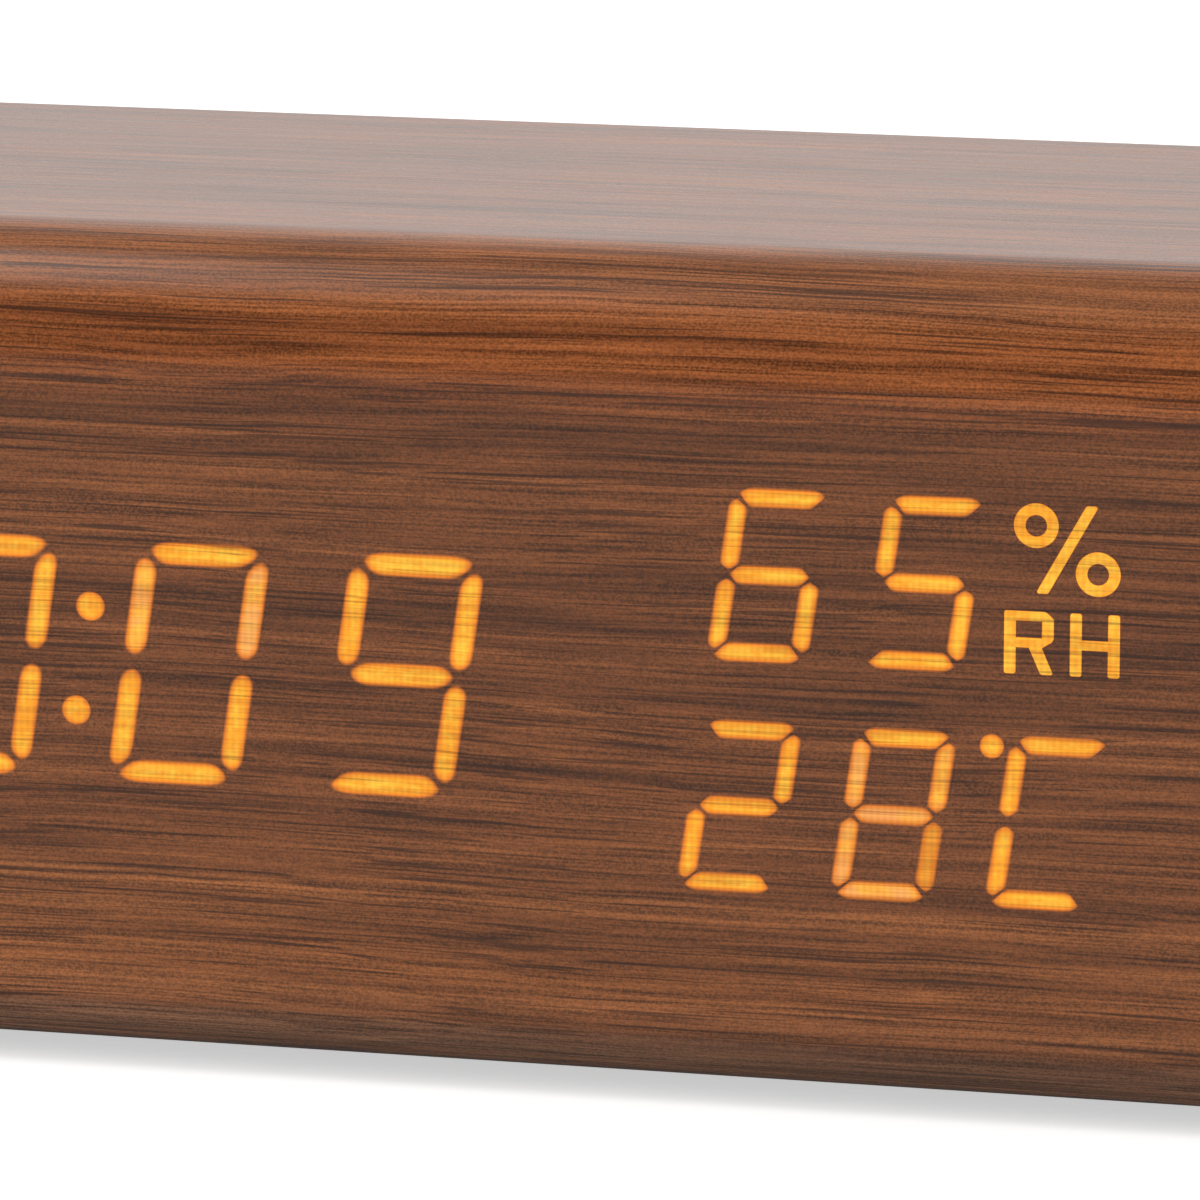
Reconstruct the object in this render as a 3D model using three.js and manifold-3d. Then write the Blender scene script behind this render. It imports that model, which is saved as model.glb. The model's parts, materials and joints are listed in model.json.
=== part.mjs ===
// A desk clock built into a block of board wrapped in wood-grain film. Its digits shine through the front,
// and its flat top charges a phone that lies on it. Lengths are in millimetres. X runs to the right seen from
// the front, Y to the back and Z up. The origin is the centre of the footprint, on the table.
import * as THREE from "three";
import { mergeVertices } from "three/addons/utils/BufferGeometryUtils.js";
import Module from "manifold-3d";

const wasm = await Module();
wasm.setup();

// Gaps between neighbours
const seatGap = 0.05; // flat faces that rest on each other
const slipGap = 0.3; // round a piece that drops into a hole or moves in it
const overrun = 1; // how far a cut runs past the face that it opens

// Digits and signs, measured on the centre lines of their bars
const timeDigit = { height: 18.2, width: 9.4, bar: 1.85 };
const smallDigit = { height: 12.6, width: 6.8, bar: 1.5 };
const timePitch = 17.9;
const smallPitch = 12.6;
const slantShare = 0.151; // sideways lean of the digits, as a share of their height
const barEndGap = 0.3; // from a bar's tip to the centre line that it meets
const barMiddleGap = 0.5; // from an upright bar's tip to the digit's middle
const shoulderShare = 0.36; // the rest are shares of a bar's thickness
const crownShare = 0.16;
const tipShiftShare = 0.12;
const innerChamferShare = 0.42;
const outerChamferShare = 0.2;
const middleChamferShare = 0.28;
const colonRadius = 1.1;
const colonHeights = [4.8, 13.5];
const degreeRadius = 0.87;
const percentRing = { outer: 1.8, inner: 0.87 };
const percentStroke = { width: 1, height: 7.2, lean: 4 };
const letter = { width: 4, height: 5.1, stem: 0.95, beam: 0.8 };
const bowlCut = 0.6; // the corner taken off the R's bowl
const legWidth = 1.05;

// Places on the display: the small rows from the foot of the time's last digit, their signs from their end
const humidityPlace = [30.8, 12.5];
const temperaturePlace = [28.4, -6.45];
const degreeOffset = [-3.7, 12.35];
const percentOffset = [-0.2, 9.55];
const percentRingOffset = [2.5, 1.85]; // from the stroke's middle to the lower ring
const letterOffsets = { R: [-5.2, -0.6], H: [0.1, -0.6] };

// Display module
const barClearance = 0.06; // round each bar of the light guide
const bridgeWidth = 0.5; // strip at the film's back that holds the film inside a ring or letter
const reflectorBorder = 2;
const reflectorDepth = 8;
const guideBacking = 0.8;
const circuitBoard = 1.6; // thickness of both boards
const displayEar = 5.4; // the display board runs past the reflector by this at each side
const displayScrewInset = 2.6;
const driverChip = { width: 17.9, depth: 2.3, height: 7.5 };
const driverChipPlace = [18, 9];

// Block of the body
const bodyDepth = 72.6;
const sideMargin = 13.35; // from the reflector to the block's ends, underside and top
const underMargin = 14.5;
const overMargin = 15.85;
const topFrontRadius = 10.6;
const bottomFrontRadius = 5;
const rearEdgeRadius = 1.2;
const filmThickness = 0.5;
const glueGap = 0.1;
const coreWall = 5;
const coreBackWall = 8;
const endPanelThickness = 3;
const endRim = { depth: 1.5, width: 2.4 };
const pilotFloor = 0.8; // board left under a blind screw hole

// Feet
const foot = { radius: 5.5, height: 1.55, chamfer: 0.4 };
const footInset = { x: 18, front: 17, rear: 13 };

// Rear cover
const cover = { marginX: 4.5, marginZ: 4.7, recess: 1.5, thickness: 2.4, radius: 3, ledge: 7 };
const rearScrew = { inset: 3.6, head: 2.4, headHeight: 1.5, shaft: 1.15, bite: 3.6, sunk: 0.9 };
const boardScrew = { head: 1.9, headHeight: 1.3, shaft: 0.9, bite: 3.4 };
const screwCross = { length: 2.2, width: 0.6, depth: 0.7 };
const boss = { radius: 2.4, inset: 3.4 };

// Buttons and the switches that they press
const buttonNames = ["set", "up", "down", "alarm"];
const button = { radius: 3.8, proud: 1, flange: 5, flangeThickness: 1, stem: 2, stemLength: 2.2, firstX: 27 };
const buttonPitch = 12.5;
const buttonDrop = 8.5; // from the board's top edge to the row of buttons
const buttonTravel = 0.5;
const tactSwitch = { side: 6, height: 3.5, plunger: 1.7, plungerProud: 0.9, plungerSunk: 1.5 };

// Control board and what it carries
const controlBoard = { left: 3, right: 9.5, height: 34 }; // from the opening's edge, and past the last button
const usb = { width: 9, height: 3.3, wall: 0.3, tongueWidth: 6.7, tongueHeight: 0.7, base: 2, mouthGap: 0.3 };
const usbPlace = { x: 52, z: 9 }; // from the board's lower left corner
const plugRecess = { width: 13.6, height: 8, radius: 2.6, depth: 3.2, wall: 1.2 };
const tongueInset = 1.5;
const buzzer = { radius: 6, height: 6.4, x: 33, z: 9.5, hole: 1.1, holeDepth: 2.5 };
const soundHole = { radius: 0.8, ring: 3, count: 6 };
const climateSensor = { side: 4, height: 1.3, x: 15.5, z: 17 };
const vent = { width: 1.5, height: 15, pitch: 3.2, count: 5 };
const chips = [
  { name: "clock_controller", width: 10, depth: 1.4, height: 10, x: 47, z: 12 },
  { name: "charge_controller", width: 6, depth: 0.9, height: 6, x: 62, z: 22 },
  { name: "power_inductor", width: 7.2, depth: 4, height: 7.2, x: 62, z: 10 },
];
const ribbon = { width: 14, thickness: 0.4, landing: 5, drop: 9, radius: 6, x: 34, z: 29 };

// Coin cell bay in the rear cover
const bay = { insetX: 22, width: 22.4, height: 21.6, depth: 7, wall: 1.2 };
const bayDoor = { overlap: 1, thickness: 1.6 };
const doorTongue = { width: 4, length: 1.2, thickness: 0.7, spacing: 13 };
const tongueRelief = 2; // room behind each tongue for it to swing
const fingerNotch = { radius: 5, depth: 0.8 };
const coinCell = { radius: 10, thickness: 3.2, rimStep: 0.9, canThickness: 2.3 };
const cellContact = { thickness: 0.3, width: 8, length: 12, sideHeight: 7, sideDepth: 3 };

// Charging coil under the top
const coil = { outer: 20, inner: 10.25, thickness: 1.6 };
const ferrite = { radius: 20.3, thickness: 0.8 };
const carrier = { thickness: 1.6, pad: 0.5, lip: 1.5, ear: 14, screwInset: 4 };
const pocketRoom = 7; // the pocket runs past the coil by this at each end, for its leads
const lead = { radius: 0.6, bend: 2.4, holeRadius: 1.5 };
const connector = { width: 8, depth: 5.5, height: 6, x: 21, z: 25 };

// Steps of round shapes
const wideArcSteps = 10;
const arcSteps = 4;
const circleSteps = 24;
const smallCircleSteps = 12;
const wireSides = 8;
const wireSteps = 24;
const quarterTurn = Math.PI / 2;

// Every outline of the display, drawn from the foot of the time's last digit
const bars = [
  ...digitRow("1009", timeDigit, timePitch, [-3 * timePitch, 0]),
  ...digitRow("65", smallDigit, smallPitch, humidityPlace),
  ...digitRow("28", smallDigit, smallPitch, temperaturePlace),
  ...digit("C", smallDigit, pastRow(temperaturePlace)).filter((b) => b.lit),
  ...colonHeights.map((z) => dot([(slantShare * z) - (1.5 * timePitch), z], colonRadius)),
  dot(pastRow(temperaturePlace, degreeOffset), degreeRadius),
  ...percentSign(pastRow(humidityPlace, percentOffset)),
  ...Object.entries(letterOffsets).map(
    ([name, offset]) => letterOutline(name, pastRow(humidityPlace, offset)),
  ),
];
const displayBox = new THREE.Box2().setFromPoints(bars.flatMap((bar) => bar.outline));
const reflectorSize = displayBox.getSize(new THREE.Vector2()).addScalar(2 * reflectorBorder);
const displayMiddle = displayBox.getCenter(new THREE.Vector2());

// Faces of the block
const halfWidth = reflectorSize.x / 2 + sideMargin;
const frontY = -bodyDepth / 2;
const rearY = bodyDepth / 2;
const undersideZ = foot.height + seatGap;
const topZ = undersideZ + underMargin + reflectorSize.y + overMargin;
const middleZ = (undersideZ + topZ) / 2;
const wrap = filmThickness + glueGap; // from the block's faces to its board
const endFilmInner = halfWidth - filmThickness;
const panelOuter = endFilmInner - seatGap;
const coreHalf = panelOuter - endPanelThickness - seatGap;
const coreInset = wrap + coreWall;
const wallBackY = frontY + coreInset; // inner faces of the front, back and top walls
const backWallY = rearY - wrap - coreBackWall;
const ceilingZ = topZ - coreInset;

// Places that several pieces share
const displayOrigin = [
  -displayMiddle.x,
  frontY,
  undersideZ + underMargin + reflectorSize.y / 2 - displayMiddle.y,
];
const guideFrontY = filmThickness + slipGap; // reflector's front face, behind the block's front
const guideBackY = guideFrontY + reflectorDepth + seatGap;
const displayBoardY = guideBackY + guideBacking + seatGap;
const coverWidth = 2 * (coreHalf - cover.marginX);
const coverHeight = topZ - undersideZ - 2 * cover.marginZ;
const coverFaceY = rearY - cover.recess;
const openingWidth = coverWidth - 2 * cover.ledge;
const openingHeight = coverHeight - 2 * cover.ledge;
const switchStack = tactSwitch.height + tactSwitch.plungerProud;
const bossHeight = switchStack + button.stemLength + button.flangeThickness + 2 * seatGap;
const boardRearY = -cover.thickness - bossHeight; // behind the cover's face
const boardWidth = button.firstX + (buttonNames.length - 1) * buttonPitch + controlBoard.right;
const boardLeft = -openingWidth / 2 + controlBoard.left;
const boardMiddle = boardLeft + boardWidth / 2;
const boardBottom = -controlBoard.height / 2;
const bayX = openingWidth / 2 - bay.insetX;
const doorWidth = bay.width + 2 * bayDoor.overlap;
const doorHeight = bay.height + 2 * bayDoor.overlap;
const coilY = (wallBackY + backWallY) / 2;
const pocketDepth = coil.thickness + ferrite.thickness + carrier.pad + 3 * seatGap;
const earX = coil.outer + carrier.ear;

// Finishes
const finishes = {
  woodFilm: finish(0x6e4530, 0.4, 0),
  boardCore: finish(0xb28c5f, 0.9, 0),
  blackPlastic: finish(0x1b1b1d, 0.55, 0),
  buttonPlastic: finish(0x2c2c2f, 0.45, 0),
  whitePlastic: finish(0xe4e1d8, 0.5, 0),
  rubber: finish(0x232326, 0.85, 0),
  lightGuide: new THREE.MeshStandardMaterial({ color: 0xffa63c, roughness: 0.4, emissive: 0xff8a1e }),
  circuit: finish(0x174d35, 0.45, 0),
  chip: finish(0x161618, 0.5, 0),
  copper: finish(0xb56a35, 0.35, 0.9),
  ferrite: finish(0x393432, 0.8, 0),
  steel: finish(0xa9abae, 0.3, 0.9),
  polyimide: finish(0xb3701f, 0.4, 0),
};

function finish(color, roughness, metalness) {
  return new THREE.MeshStandardMaterial({ color, roughness, metalness });
}

// A point leaned over and moved to its place on the display
function leaned([x, z], [placeX, placeZ]) {
  return new THREE.Vector2(placeX + x + slantShare * z, placeZ + z);
}

// A lying bar whose long side is up for 1, down for -1, and neither for 0
function lyingBar({ width, bar }, z, outward) {
  const tip = width / 2 - barEndGap;
  const shoulder = tip - bar * shoulderShare;
  const half = bar / 2;
  const crown = bar * crownShare;
  const outer = z + outward * half;
  const inner = z - outward * half;
  const middleBar = [[-tip, z], [-shoulder, z - half], [shoulder, z - half], [tip, z],
    [shoulder, z + half], [-shoulder, z + half]];
  const outerBar = [[-shoulder, inner], [shoulder, inner], [tip, outer - outward * crown],
    [tip - crown, outer], [crown - tip, outer], [-tip, outer - outward * crown]];
  return outward === 0 ? middleBar : outerBar;
}

// An upright bar at the right for side 1 or left for -1, in the upper half for rise 1 or lower for -1
function standingBar({ height, width, bar }, side, rise) {
  const x = (side * width) / 2;
  const half = (side * bar) / 2;
  const far = height / 2 + rise * (height / 2 - barEndGap);
  const near = height / 2 + rise * barMiddleGap;
  return [
    [x - half, far - rise * bar * innerChamferShare],
    [x + side * bar * tipShiftShare, far],
    [x + half, far - rise * bar * outerChamferShare],
    [x + half, near + rise * bar * middleChamferShare],
    [x, near],
    [x - half, near + rise * bar * middleChamferShare],
  ];
}

// The seven bars of a digit, each told whether it is lit
function digit(sign, size, place) {
  const litBars = {
    0: "abcdef", 1: "bc", 2: "abdeg", 5: "acdfg", 6: "acdefg", 8: "abcdefg", 9: "abcdfg", C: "adef",
  };
  const outlines = {
    a: lyingBar(size, size.height, 1),
    b: standingBar(size, 1, 1),
    c: standingBar(size, 1, -1),
    d: lyingBar(size, 0, -1),
    e: standingBar(size, -1, -1),
    f: standingBar(size, -1, 1),
    g: lyingBar(size, size.height / 2, 0),
  };
  return Object.entries(outlines).map(([name, points]) => ({
    outline: points.map((point) => leaned(point, place)),
    lit: litBars[sign].includes(name),
  }));
}

function digitRow(signs, size, pitch, [x, z]) {
  return [...signs].flatMap((sign, i) => digit(sign, size, [x + i * pitch, z]));
}

// The place that follows a small row's two digits, or one offset from it
function pastRow([x, z], [dx, dz] = [0, 0]) {
  return [x + 2 * smallPitch + dx, z + dz];
}

function circlePoints([x, z], radius, steps) {
  return Array.from({ length: steps }, (_, i) => {
    const turn = (4 * quarterTurn * i) / steps;
    return new THREE.Vector2(x + radius * Math.cos(turn), z + radius * Math.sin(turn));
  });
}

function dot(place, radius) {
  return { outline: circlePoints(place, radius, smallCircleSteps), lit: true };
}

// Two rings and a leaning stroke
function percentSign([x, z]) {
  const [dx, dz] = percentRingOffset;
  const rings = [[x - dx, z + dz], [x + dx, z - dz]].map((place) => ({
    outline: circlePoints(place, percentRing.outer, smallCircleSteps),
    hole: circlePoints(place, percentRing.inner, smallCircleSteps),
    lit: true,
  }));
  const { width, height, lean } = percentStroke;
  const end = [[lean + width, height], [lean - width, height]];
  const corners = [...end, ...end.map(([a, b]) => [-a, -b])];
  const stroke = corners.map(([a, b]) => new THREE.Vector2(x + a / 2, z + b / 2));
  return [...rings, { outline: stroke, lit: true }];
}

// A capital R or H that stands upright
function letterOutline(name, [x, z]) {
  const { width, height, stem, beam } = letter;
  const waist = (height - beam) / 2;
  const place = (points) => points.map(([a, b]) => new THREE.Vector2(x + a, z + b));
  if (name === "H")
    return {
      outline: place([[0, 0], [stem, 0], [stem, waist], [width - stem, waist], [width - stem, 0], [width, 0],
        [width, height], [width - stem, height], [width - stem, waist + beam], [stem, waist + beam],
        [stem, height], [0, height]]),
      lit: true,
    };
  return {
    outline: place([[0, 0], [stem, 0], [stem, waist], [width / 2, waist], [width - legWidth, 0], [width, 0],
      [width - stem, waist], [width, waist + bowlCut], [width, height - bowlCut], [width - bowlCut, height],
      [0, height]]),
    hole: place([[stem, waist + beam], [width - stem, waist + beam], [width - stem, height - beam],
      [stem, height - beam]]),
    lit: true,
  };
}

// An outline with every side moved out by a gap
function grown(points, gap) {
  const turn = Math.sign(THREE.ShapeUtils.area(points));
  const lines = points.map((point, i) => {
    const along = points[(i + 1) % points.length].clone().sub(point).normalize();
    const out = new THREE.Vector2(along.y, -along.x).multiplyScalar(turn * gap);
    return { start: point.clone().add(out), along };
  });
  return lines.map(({ start, along }, i) => {
    const before = lines.at(i - 1);
    const apart = start.clone().sub(before.start);
    const reach = apart.cross(along) / before.along.cross(along);
    return before.start.clone().addScaledVector(before.along, reach);
  });
}

// A bar between two depths with its sides moved out, and cut behind the film's face where a bridge goes
function barGeometry({ outline, hole }, gap, from, to) {
  const shape = new THREE.Shape(grown(outline, gap));
  if (!hole) return alongY(shape, from, to);
  shape.holes.push(new THREE.Path(grown(hole, -gap)));
  const room = barClearance - gap;
  const middle = new THREE.Box2().setFromPoints(hole).getCenter(new THREE.Vector2());
  const height = new THREE.Box2().setFromPoints(outline).getSize(new THREE.Vector2()).y;
  const bridge = roundedRectangle(bridgeWidth + 2 * room, 2 * height, 0, middle.toArray());
  return shaped(alongY(shape, from, to), {
    cut: [alongY(bridge, filmThickness / 2 - room, filmThickness + 2 * overrun)],
  });
}

// An outline of straight sides and right angles, its corners given as [a, b, radius, steps]
function roundedOutline(corners) {
  return corners.flatMap(([a, b, radius = 0, steps = arcSteps], i) => {
    const corner = new THREE.Vector2(a, b);
    if (radius <= 0) return [corner];
    const before = new THREE.Vector2(...corners.at(i - 1)).sub(corner).normalize();
    const after = new THREE.Vector2(...corners[(i + 1) % corners.length]).sub(corner).normalize();
    const centre = corner.clone().addScaledVector(before, radius).addScaledVector(after, radius);
    return Array.from({ length: steps + 1 }, (_, k) => {
      const turn = (k / steps) * quarterTurn;
      return centre
        .clone()
        .addScaledVector(after, -radius * Math.cos(turn))
        .addScaledVector(before, -radius * Math.sin(turn));
    });
  });
}

function roundedRectangle(width, height, radius = 0, [a, b] = [0, 0]) {
  const [low, high] = [b - height / 2, b + height / 2];
  const [left, right] = [a - width / 2, a + width / 2];
  return roundedOutline([
    [left, low, radius],
    [right, low, radius],
    [right, high, radius],
    [left, high, radius],
  ]);
}

// The block's side outline, in Y and Z, with every face moved in
function sideOutline(inset) {
  const [front, back, low, high] = [frontY + inset, rearY - inset, undersideZ + inset, topZ - inset];
  return roundedOutline([
    [front, low, bottomFrontRadius - inset],
    [back, low, rearEdgeRadius - inset],
    [back, high, rearEdgeRadius - inset],
    [front, high, topFrontRadius - inset, wideArcSteps],
  ]);
}

// The block's hollow, whose back wall is thicker than the rest
function hollowOutline(inset) {
  const [front, back] = [wallBackY + inset, backWallY - inset];
  const [low, high] = [undersideZ + coreInset + inset, ceilingZ - inset];
  const radius = topFrontRadius - coreInset - inset;
  return roundedOutline([[front, low], [back, low], [back, high], [front, high, radius, wideArcSteps]]);
}

// The turn that lays an outline's own three directions along other ones
function turnTo(...directions) {
  return new THREE.Matrix4().makeBasis(...directions.map((direction) => new THREE.Vector3(...direction)));
}

// Extrusions along each axis, from one place to another
function alongX(points, from, to, holes = []) {
  const turn = turnTo([0, 1, 0], [0, 0, 1], [1, 0, 0]);
  return extruded(points, to - from, holes).applyMatrix4(turn).translate(from, 0, 0);
}

function alongY(points, from, to, holes = []) {
  const turn = turnTo([1, 0, 0], [0, 0, 1], [0, -1, 0]);
  return extruded(points, to - from, holes).applyMatrix4(turn).translate(0, to, 0);
}

function alongZ(points, from, to, holes = []) {
  return extruded(points, to - from, holes).translate(0, 0, from);
}

function extruded(points, depth, holes) {
  const shape = points instanceof THREE.Shape ? points : new THREE.Shape(points);
  holes.forEach((hole) => shape.holes.push(new THREE.Path(hole)));
  return new THREE.ExtrudeGeometry(shape, { depth, bevelEnabled: false, curveSegments: arcSteps });
}

// A round piece on an axis that points to the back, from its profile of [radius, y]
function turnedOnY(profile, steps = circleSteps) {
  return new THREE.LatheGeometry(profile.map(([radius, y]) => new THREE.Vector2(radius, y)), steps);
}

function turnedOnZ(profile, steps = circleSteps) {
  return turnedOnY(profile, steps).rotateX(quarterTurn);
}

// A disc or pin between two places along Y, and one along Z
function pinOnY(radius, from, to, [x, z] = [0, 0], steps = smallCircleSteps) {
  return turnedOnY([[0, from], [radius, from], [radius, to], [0, to]], steps).translate(x, 0, z);
}

function pinOnZ(radius, from, to, [x, y] = [0, 0], steps = smallCircleSteps) {
  return turnedOnZ([[0, from], [radius, from], [radius, to], [0, to]], steps).translate(x, y, 0);
}

// A closed geometry as a solid that can be joined and cut
function solid(geometry) {
  const bare = geometry.clone();
  bare.deleteAttribute("normal");
  bare.deleteAttribute("uv");
  const merged = mergeVertices(bare);
  const corners = merged.index.array;
  const kept = [];
  for (let i = 0; i < corners.length; i += 3) {
    const [a, b, c] = corners.slice(i, i + 3);
    if (a !== b && b !== c && c !== a) kept.push(a, b, c);
  }
  const vertProperties = merged.attributes.position.array;
  return new wasm.Manifold(new wasm.Mesh({ numProp: 3, vertProperties, triVerts: new Uint32Array(kept) }));
}

// One geometry with others joined to it and others cut out of it
function shaped(base, { join = [], cut = [] }) {
  let made = solid(base);
  for (const geometry of join) made = made.add(solid(geometry));
  for (const geometry of cut) made = made.subtract(solid(geometry));
  const mesh = made.getMesh();
  const geometry = new THREE.BufferGeometry();
  geometry.setAttribute("position", new THREE.BufferAttribute(new Float32Array(mesh.vertProperties), 3));
  geometry.setIndex(new THREE.BufferAttribute(new Uint32Array(mesh.triVerts), 1));
  geometry.computeVertexNormals();
  return geometry;
}

function piece(name, geometry, material, [x, y, z] = [0, 0, 0]) {
  const mesh = new THREE.Mesh(geometry, material);
  mesh.name = name;
  mesh.position.set(x, y, z);
  return mesh;
}

function groupAt([x, y, z], ...members) {
  const group = new THREE.Group();
  group.position.set(x, y, z);
  group.add(...members);
  return group;
}

// The four places at the corners of a rectangle
function cornersOf(halfX, halfZ, [x, z] = [0, 0]) {
  return [[x - halfX, z - halfZ], [x + halfX, z - halfZ], [x - halfX, z + halfZ], [x + halfX, z + halfZ]];
}

// A pan-head screw that points along -Y, its head's underside at y = 0
function screwGeometry({ head, headHeight, shaft }, length) {
  const crown = headHeight / 2;
  const profile = [[0, -length], [shaft / 2, -length], [shaft, -length + shaft], [shaft, 0], [head, 0],
    [head, crown], [head - crown, headHeight], [0, headHeight]];
  const reach = screwCross.length / 2;
  const slots = [[reach, screwCross.width / 2], [screwCross.width / 2, reach]].map(([x, z]) =>
    alongY(roundedRectangle(2 * x, 2 * z), headHeight - screwCross.depth, headHeight + overrun));
  return shaped(turnedOnY(profile, smallCircleSteps), { cut: slots });
}

// A board screw that points along -Y, one that points along +Y, and one that points up
function screwToFront(length) {
  return screwGeometry(boardScrew, length);
}

function screwToBack(length) {
  return screwGeometry(boardScrew, length).rotateX(2 * quarterTurn);
}

function screwUp(length) {
  return screwGeometry(boardScrew, length).rotateX(-quarterTurn);
}

// Where the display board's screws go, in the display's own X and Z
const displayScrewPlaces = cornersOf(
  reflectorSize.x / 2 + displayEar - displayScrewInset,
  reflectorSize.y / 2 - displayScrewInset,
  displayMiddle.toArray(),
);
const rearScrewPlaces = cornersOf(coverWidth / 2 - rearScrew.inset, coverHeight / 2 - rearScrew.inset);
const bossPlaces = cornersOf(
  boardWidth / 2 - boss.inset,
  controlBoard.height / 2 - boss.inset,
  [boardMiddle, 0],
);
const carrierScrewX = earX - carrier.screwInset;
const leadX = -(coil.outer + lead.bend + slipGap);

// The wood-grain film round the block, laser-thinned through over each lit bar and open at the back
function filmGeometry() {
  const [x, y, z] = displayOrigin;
  const windows = bars.filter((bar) => bar.lit).map((bar) =>
    barGeometry(bar, barClearance, -overrun, filmThickness + overrun).translate(x, y, z));
  const rear = alongY(coverHole(), rearY - filmThickness - overrun, rearY + overrun);
  const tube = alongX(sideOutline(0), -panelOuter, panelOuter, [sideOutline(filmThickness)]);
  return shaped(tube, { cut: [...windows, rear] });
}

// A width and height with the slip gap all round
function roomRound({ x, y }) {
  return [x + 2 * slipGap, y + 2 * slipGap];
}

// The cover's outline with its slip gap, at its place in the block
function coverHole() {
  return roundedRectangle(coverWidth + 2 * slipGap, coverHeight + 2 * slipGap, cover.radius, [0, middleZ]);
}

// The board sleeve with the display's window, the rear opening and the coil's pocket
function coreGeometry() {
  const tube = alongX(sideOutline(wrap), -coreHalf, coreHalf, [hollowOutline(0)]);
  const [x, y, z] = displayOrigin;
  const window = roundedRectangle(...roomRound(reflectorSize), 0, [x + displayMiddle.x, z + displayMiddle.y]);
  const ledgeY = coverFaceY - cover.thickness - seatGap;
  const rearPilot = [ledgeY - rearScrew.bite - seatGap, ledgeY + overrun];
  const opening = roundedRectangle(openingWidth, openingHeight, cover.radius, [0, middleZ]);
  const pocketSize = [2 * (coil.outer + pocketRoom), 2 * (coil.outer + seatGap + slipGap)];
  const pocket = roundedRectangle(...pocketSize, cover.radius, [0, coilY]);
  const pilot = boardScrew.shaft + seatGap;
  const cut = [
    alongY(window, frontY - overrun, wallBackY + overrun),
    alongY(coverHole(), ledgeY, rearY + overrun),
    alongY(opening, backWallY - overrun, rearY + overrun),
    alongZ(pocket, ceilingZ - overrun, ceilingZ + pocketDepth),
    ...displayScrewPlaces.map(([a, b]) =>
      pinOnY(pilot, frontY + wrap + pilotFloor, wallBackY + overrun, [x + a, z + b])),
    ...rearScrewPlaces.map(([a, b]) =>
      pinOnY(rearScrew.shaft + seatGap, ...rearPilot, [a, middleZ + b])),
    ...[-carrierScrewX, carrierScrewX].map((a) =>
      pinOnZ(pilot, ceilingZ - overrun, ceilingZ + coreWall - pilotFloor, [a, coilY])),
  ];
  return shaped(tube, { cut });
}

// An end panel with the rim that locates it inside the sleeve
function endPanelGeometry() {
  const plate = alongX(sideOutline(wrap), coreHalf + seatGap, panelOuter);
  const rim = alongX(hollowOutline(slipGap), coreHalf - endRim.depth, coreHalf + endPanelThickness / 2, [
    hollowOutline(slipGap + endRim.width),
  ]);
  return shaped(plate, { join: [rim] });
}

// Casing: board sleeve, end panels, film and feet
function casing() {
  const endFilm = alongX(sideOutline(0), endFilmInner, halfWidth);
  const { radius, height, chamfer } = foot;
  const profile = [[0, 0], [radius - chamfer, 0], [radius, chamfer], [radius, height], [0, height]];
  const footShape = turnedOnZ(profile);
  const footX = halfWidth - footInset.x;
  const rows = [["front", frontY + footInset.front], ["rear", rearY - footInset.rear]];
  const feet = rows.flatMap(([row, y]) => [
    piece(`foot_${row}_left`, footShape, finishes.rubber, [-footX, y, 0]),
    piece(`foot_${row}_right`, footShape, finishes.rubber, [footX, y, 0]),
  ]);
  return groupAt([0, 0, 0],
    piece("wood_film", filmGeometry(), finishes.woodFilm),
    piece("board_sleeve", coreGeometry(), finishes.boardCore),
    piece("end_panel_right", endPanelGeometry(), finishes.boardCore),
    piece("end_panel_left", mirrored(endPanelGeometry()), finishes.boardCore),
    piece("end_film_right", endFilm, finishes.woodFilm),
    piece("end_film_left", mirrored(endFilm), finishes.woodFilm),
    ...feet,
  );
}

// The same geometry on the other side of X = 0, with its faces turned back out
function mirrored(geometry) {
  const made = (geometry.index ? geometry.toNonIndexed() : geometry.clone()).scale(-1, 1, 1);
  const corners = made.attributes.position;
  for (let i = 0; i < corners.count; i += 3) {
    const second = [corners.getX(i + 1), corners.getY(i + 1), corners.getZ(i + 1)];
    corners.setXYZ(i + 1, corners.getX(i + 2), corners.getY(i + 2), corners.getZ(i + 2));
    corners.setXYZ(i + 2, ...second);
  }
  made.computeVertexNormals();
  return made;
}

// The black block with a cavity for each bar, and an ear at each side that stands on the front wall
function reflectorGeometry(place) {
  const [width, height] = [reflectorSize.x, reflectorSize.y];
  const back = guideFrontY + reflectorDepth;
  const ears = roundedRectangle(width + 2 * displayEar, height, 0, place);
  const rearStep = roundedRectangle(width + 2 * seatGap, height + 2 * overrun, 0, place);
  return shaped(alongY(roundedRectangle(width, height, 0, place), guideFrontY, back), {
    join: [alongY(ears, coreInset + seatGap, displayBoardY - seatGap)],
    cut: [
      ...bars.map(({ outline }) => barGeometry({ outline }, barClearance, 0, guideBackY + overrun)),
      ...displayScrewPlaces.map((at) => pinOnY(boardScrew.shaft + seatGap, 0, displayBoardY + overrun, at)),
      alongY(rearStep, back, displayBoardY + overrun),
    ],
  });
}

// The clear guide: a backing sheet with a bar for each segment, the lit ones reaching the block's front face
function guideGeometry(place) {
  const sheet = roundedRectangle(reflectorSize.x, reflectorSize.y, 0, place);
  const join = bars.map((bar) =>
    barGeometry(bar, 0, bar.lit ? 0 : guideFrontY, guideBackY + guideBacking / 2));
  return shaped(alongY(sheet, guideBackY, guideBackY + guideBacking), { join });
}

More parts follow.
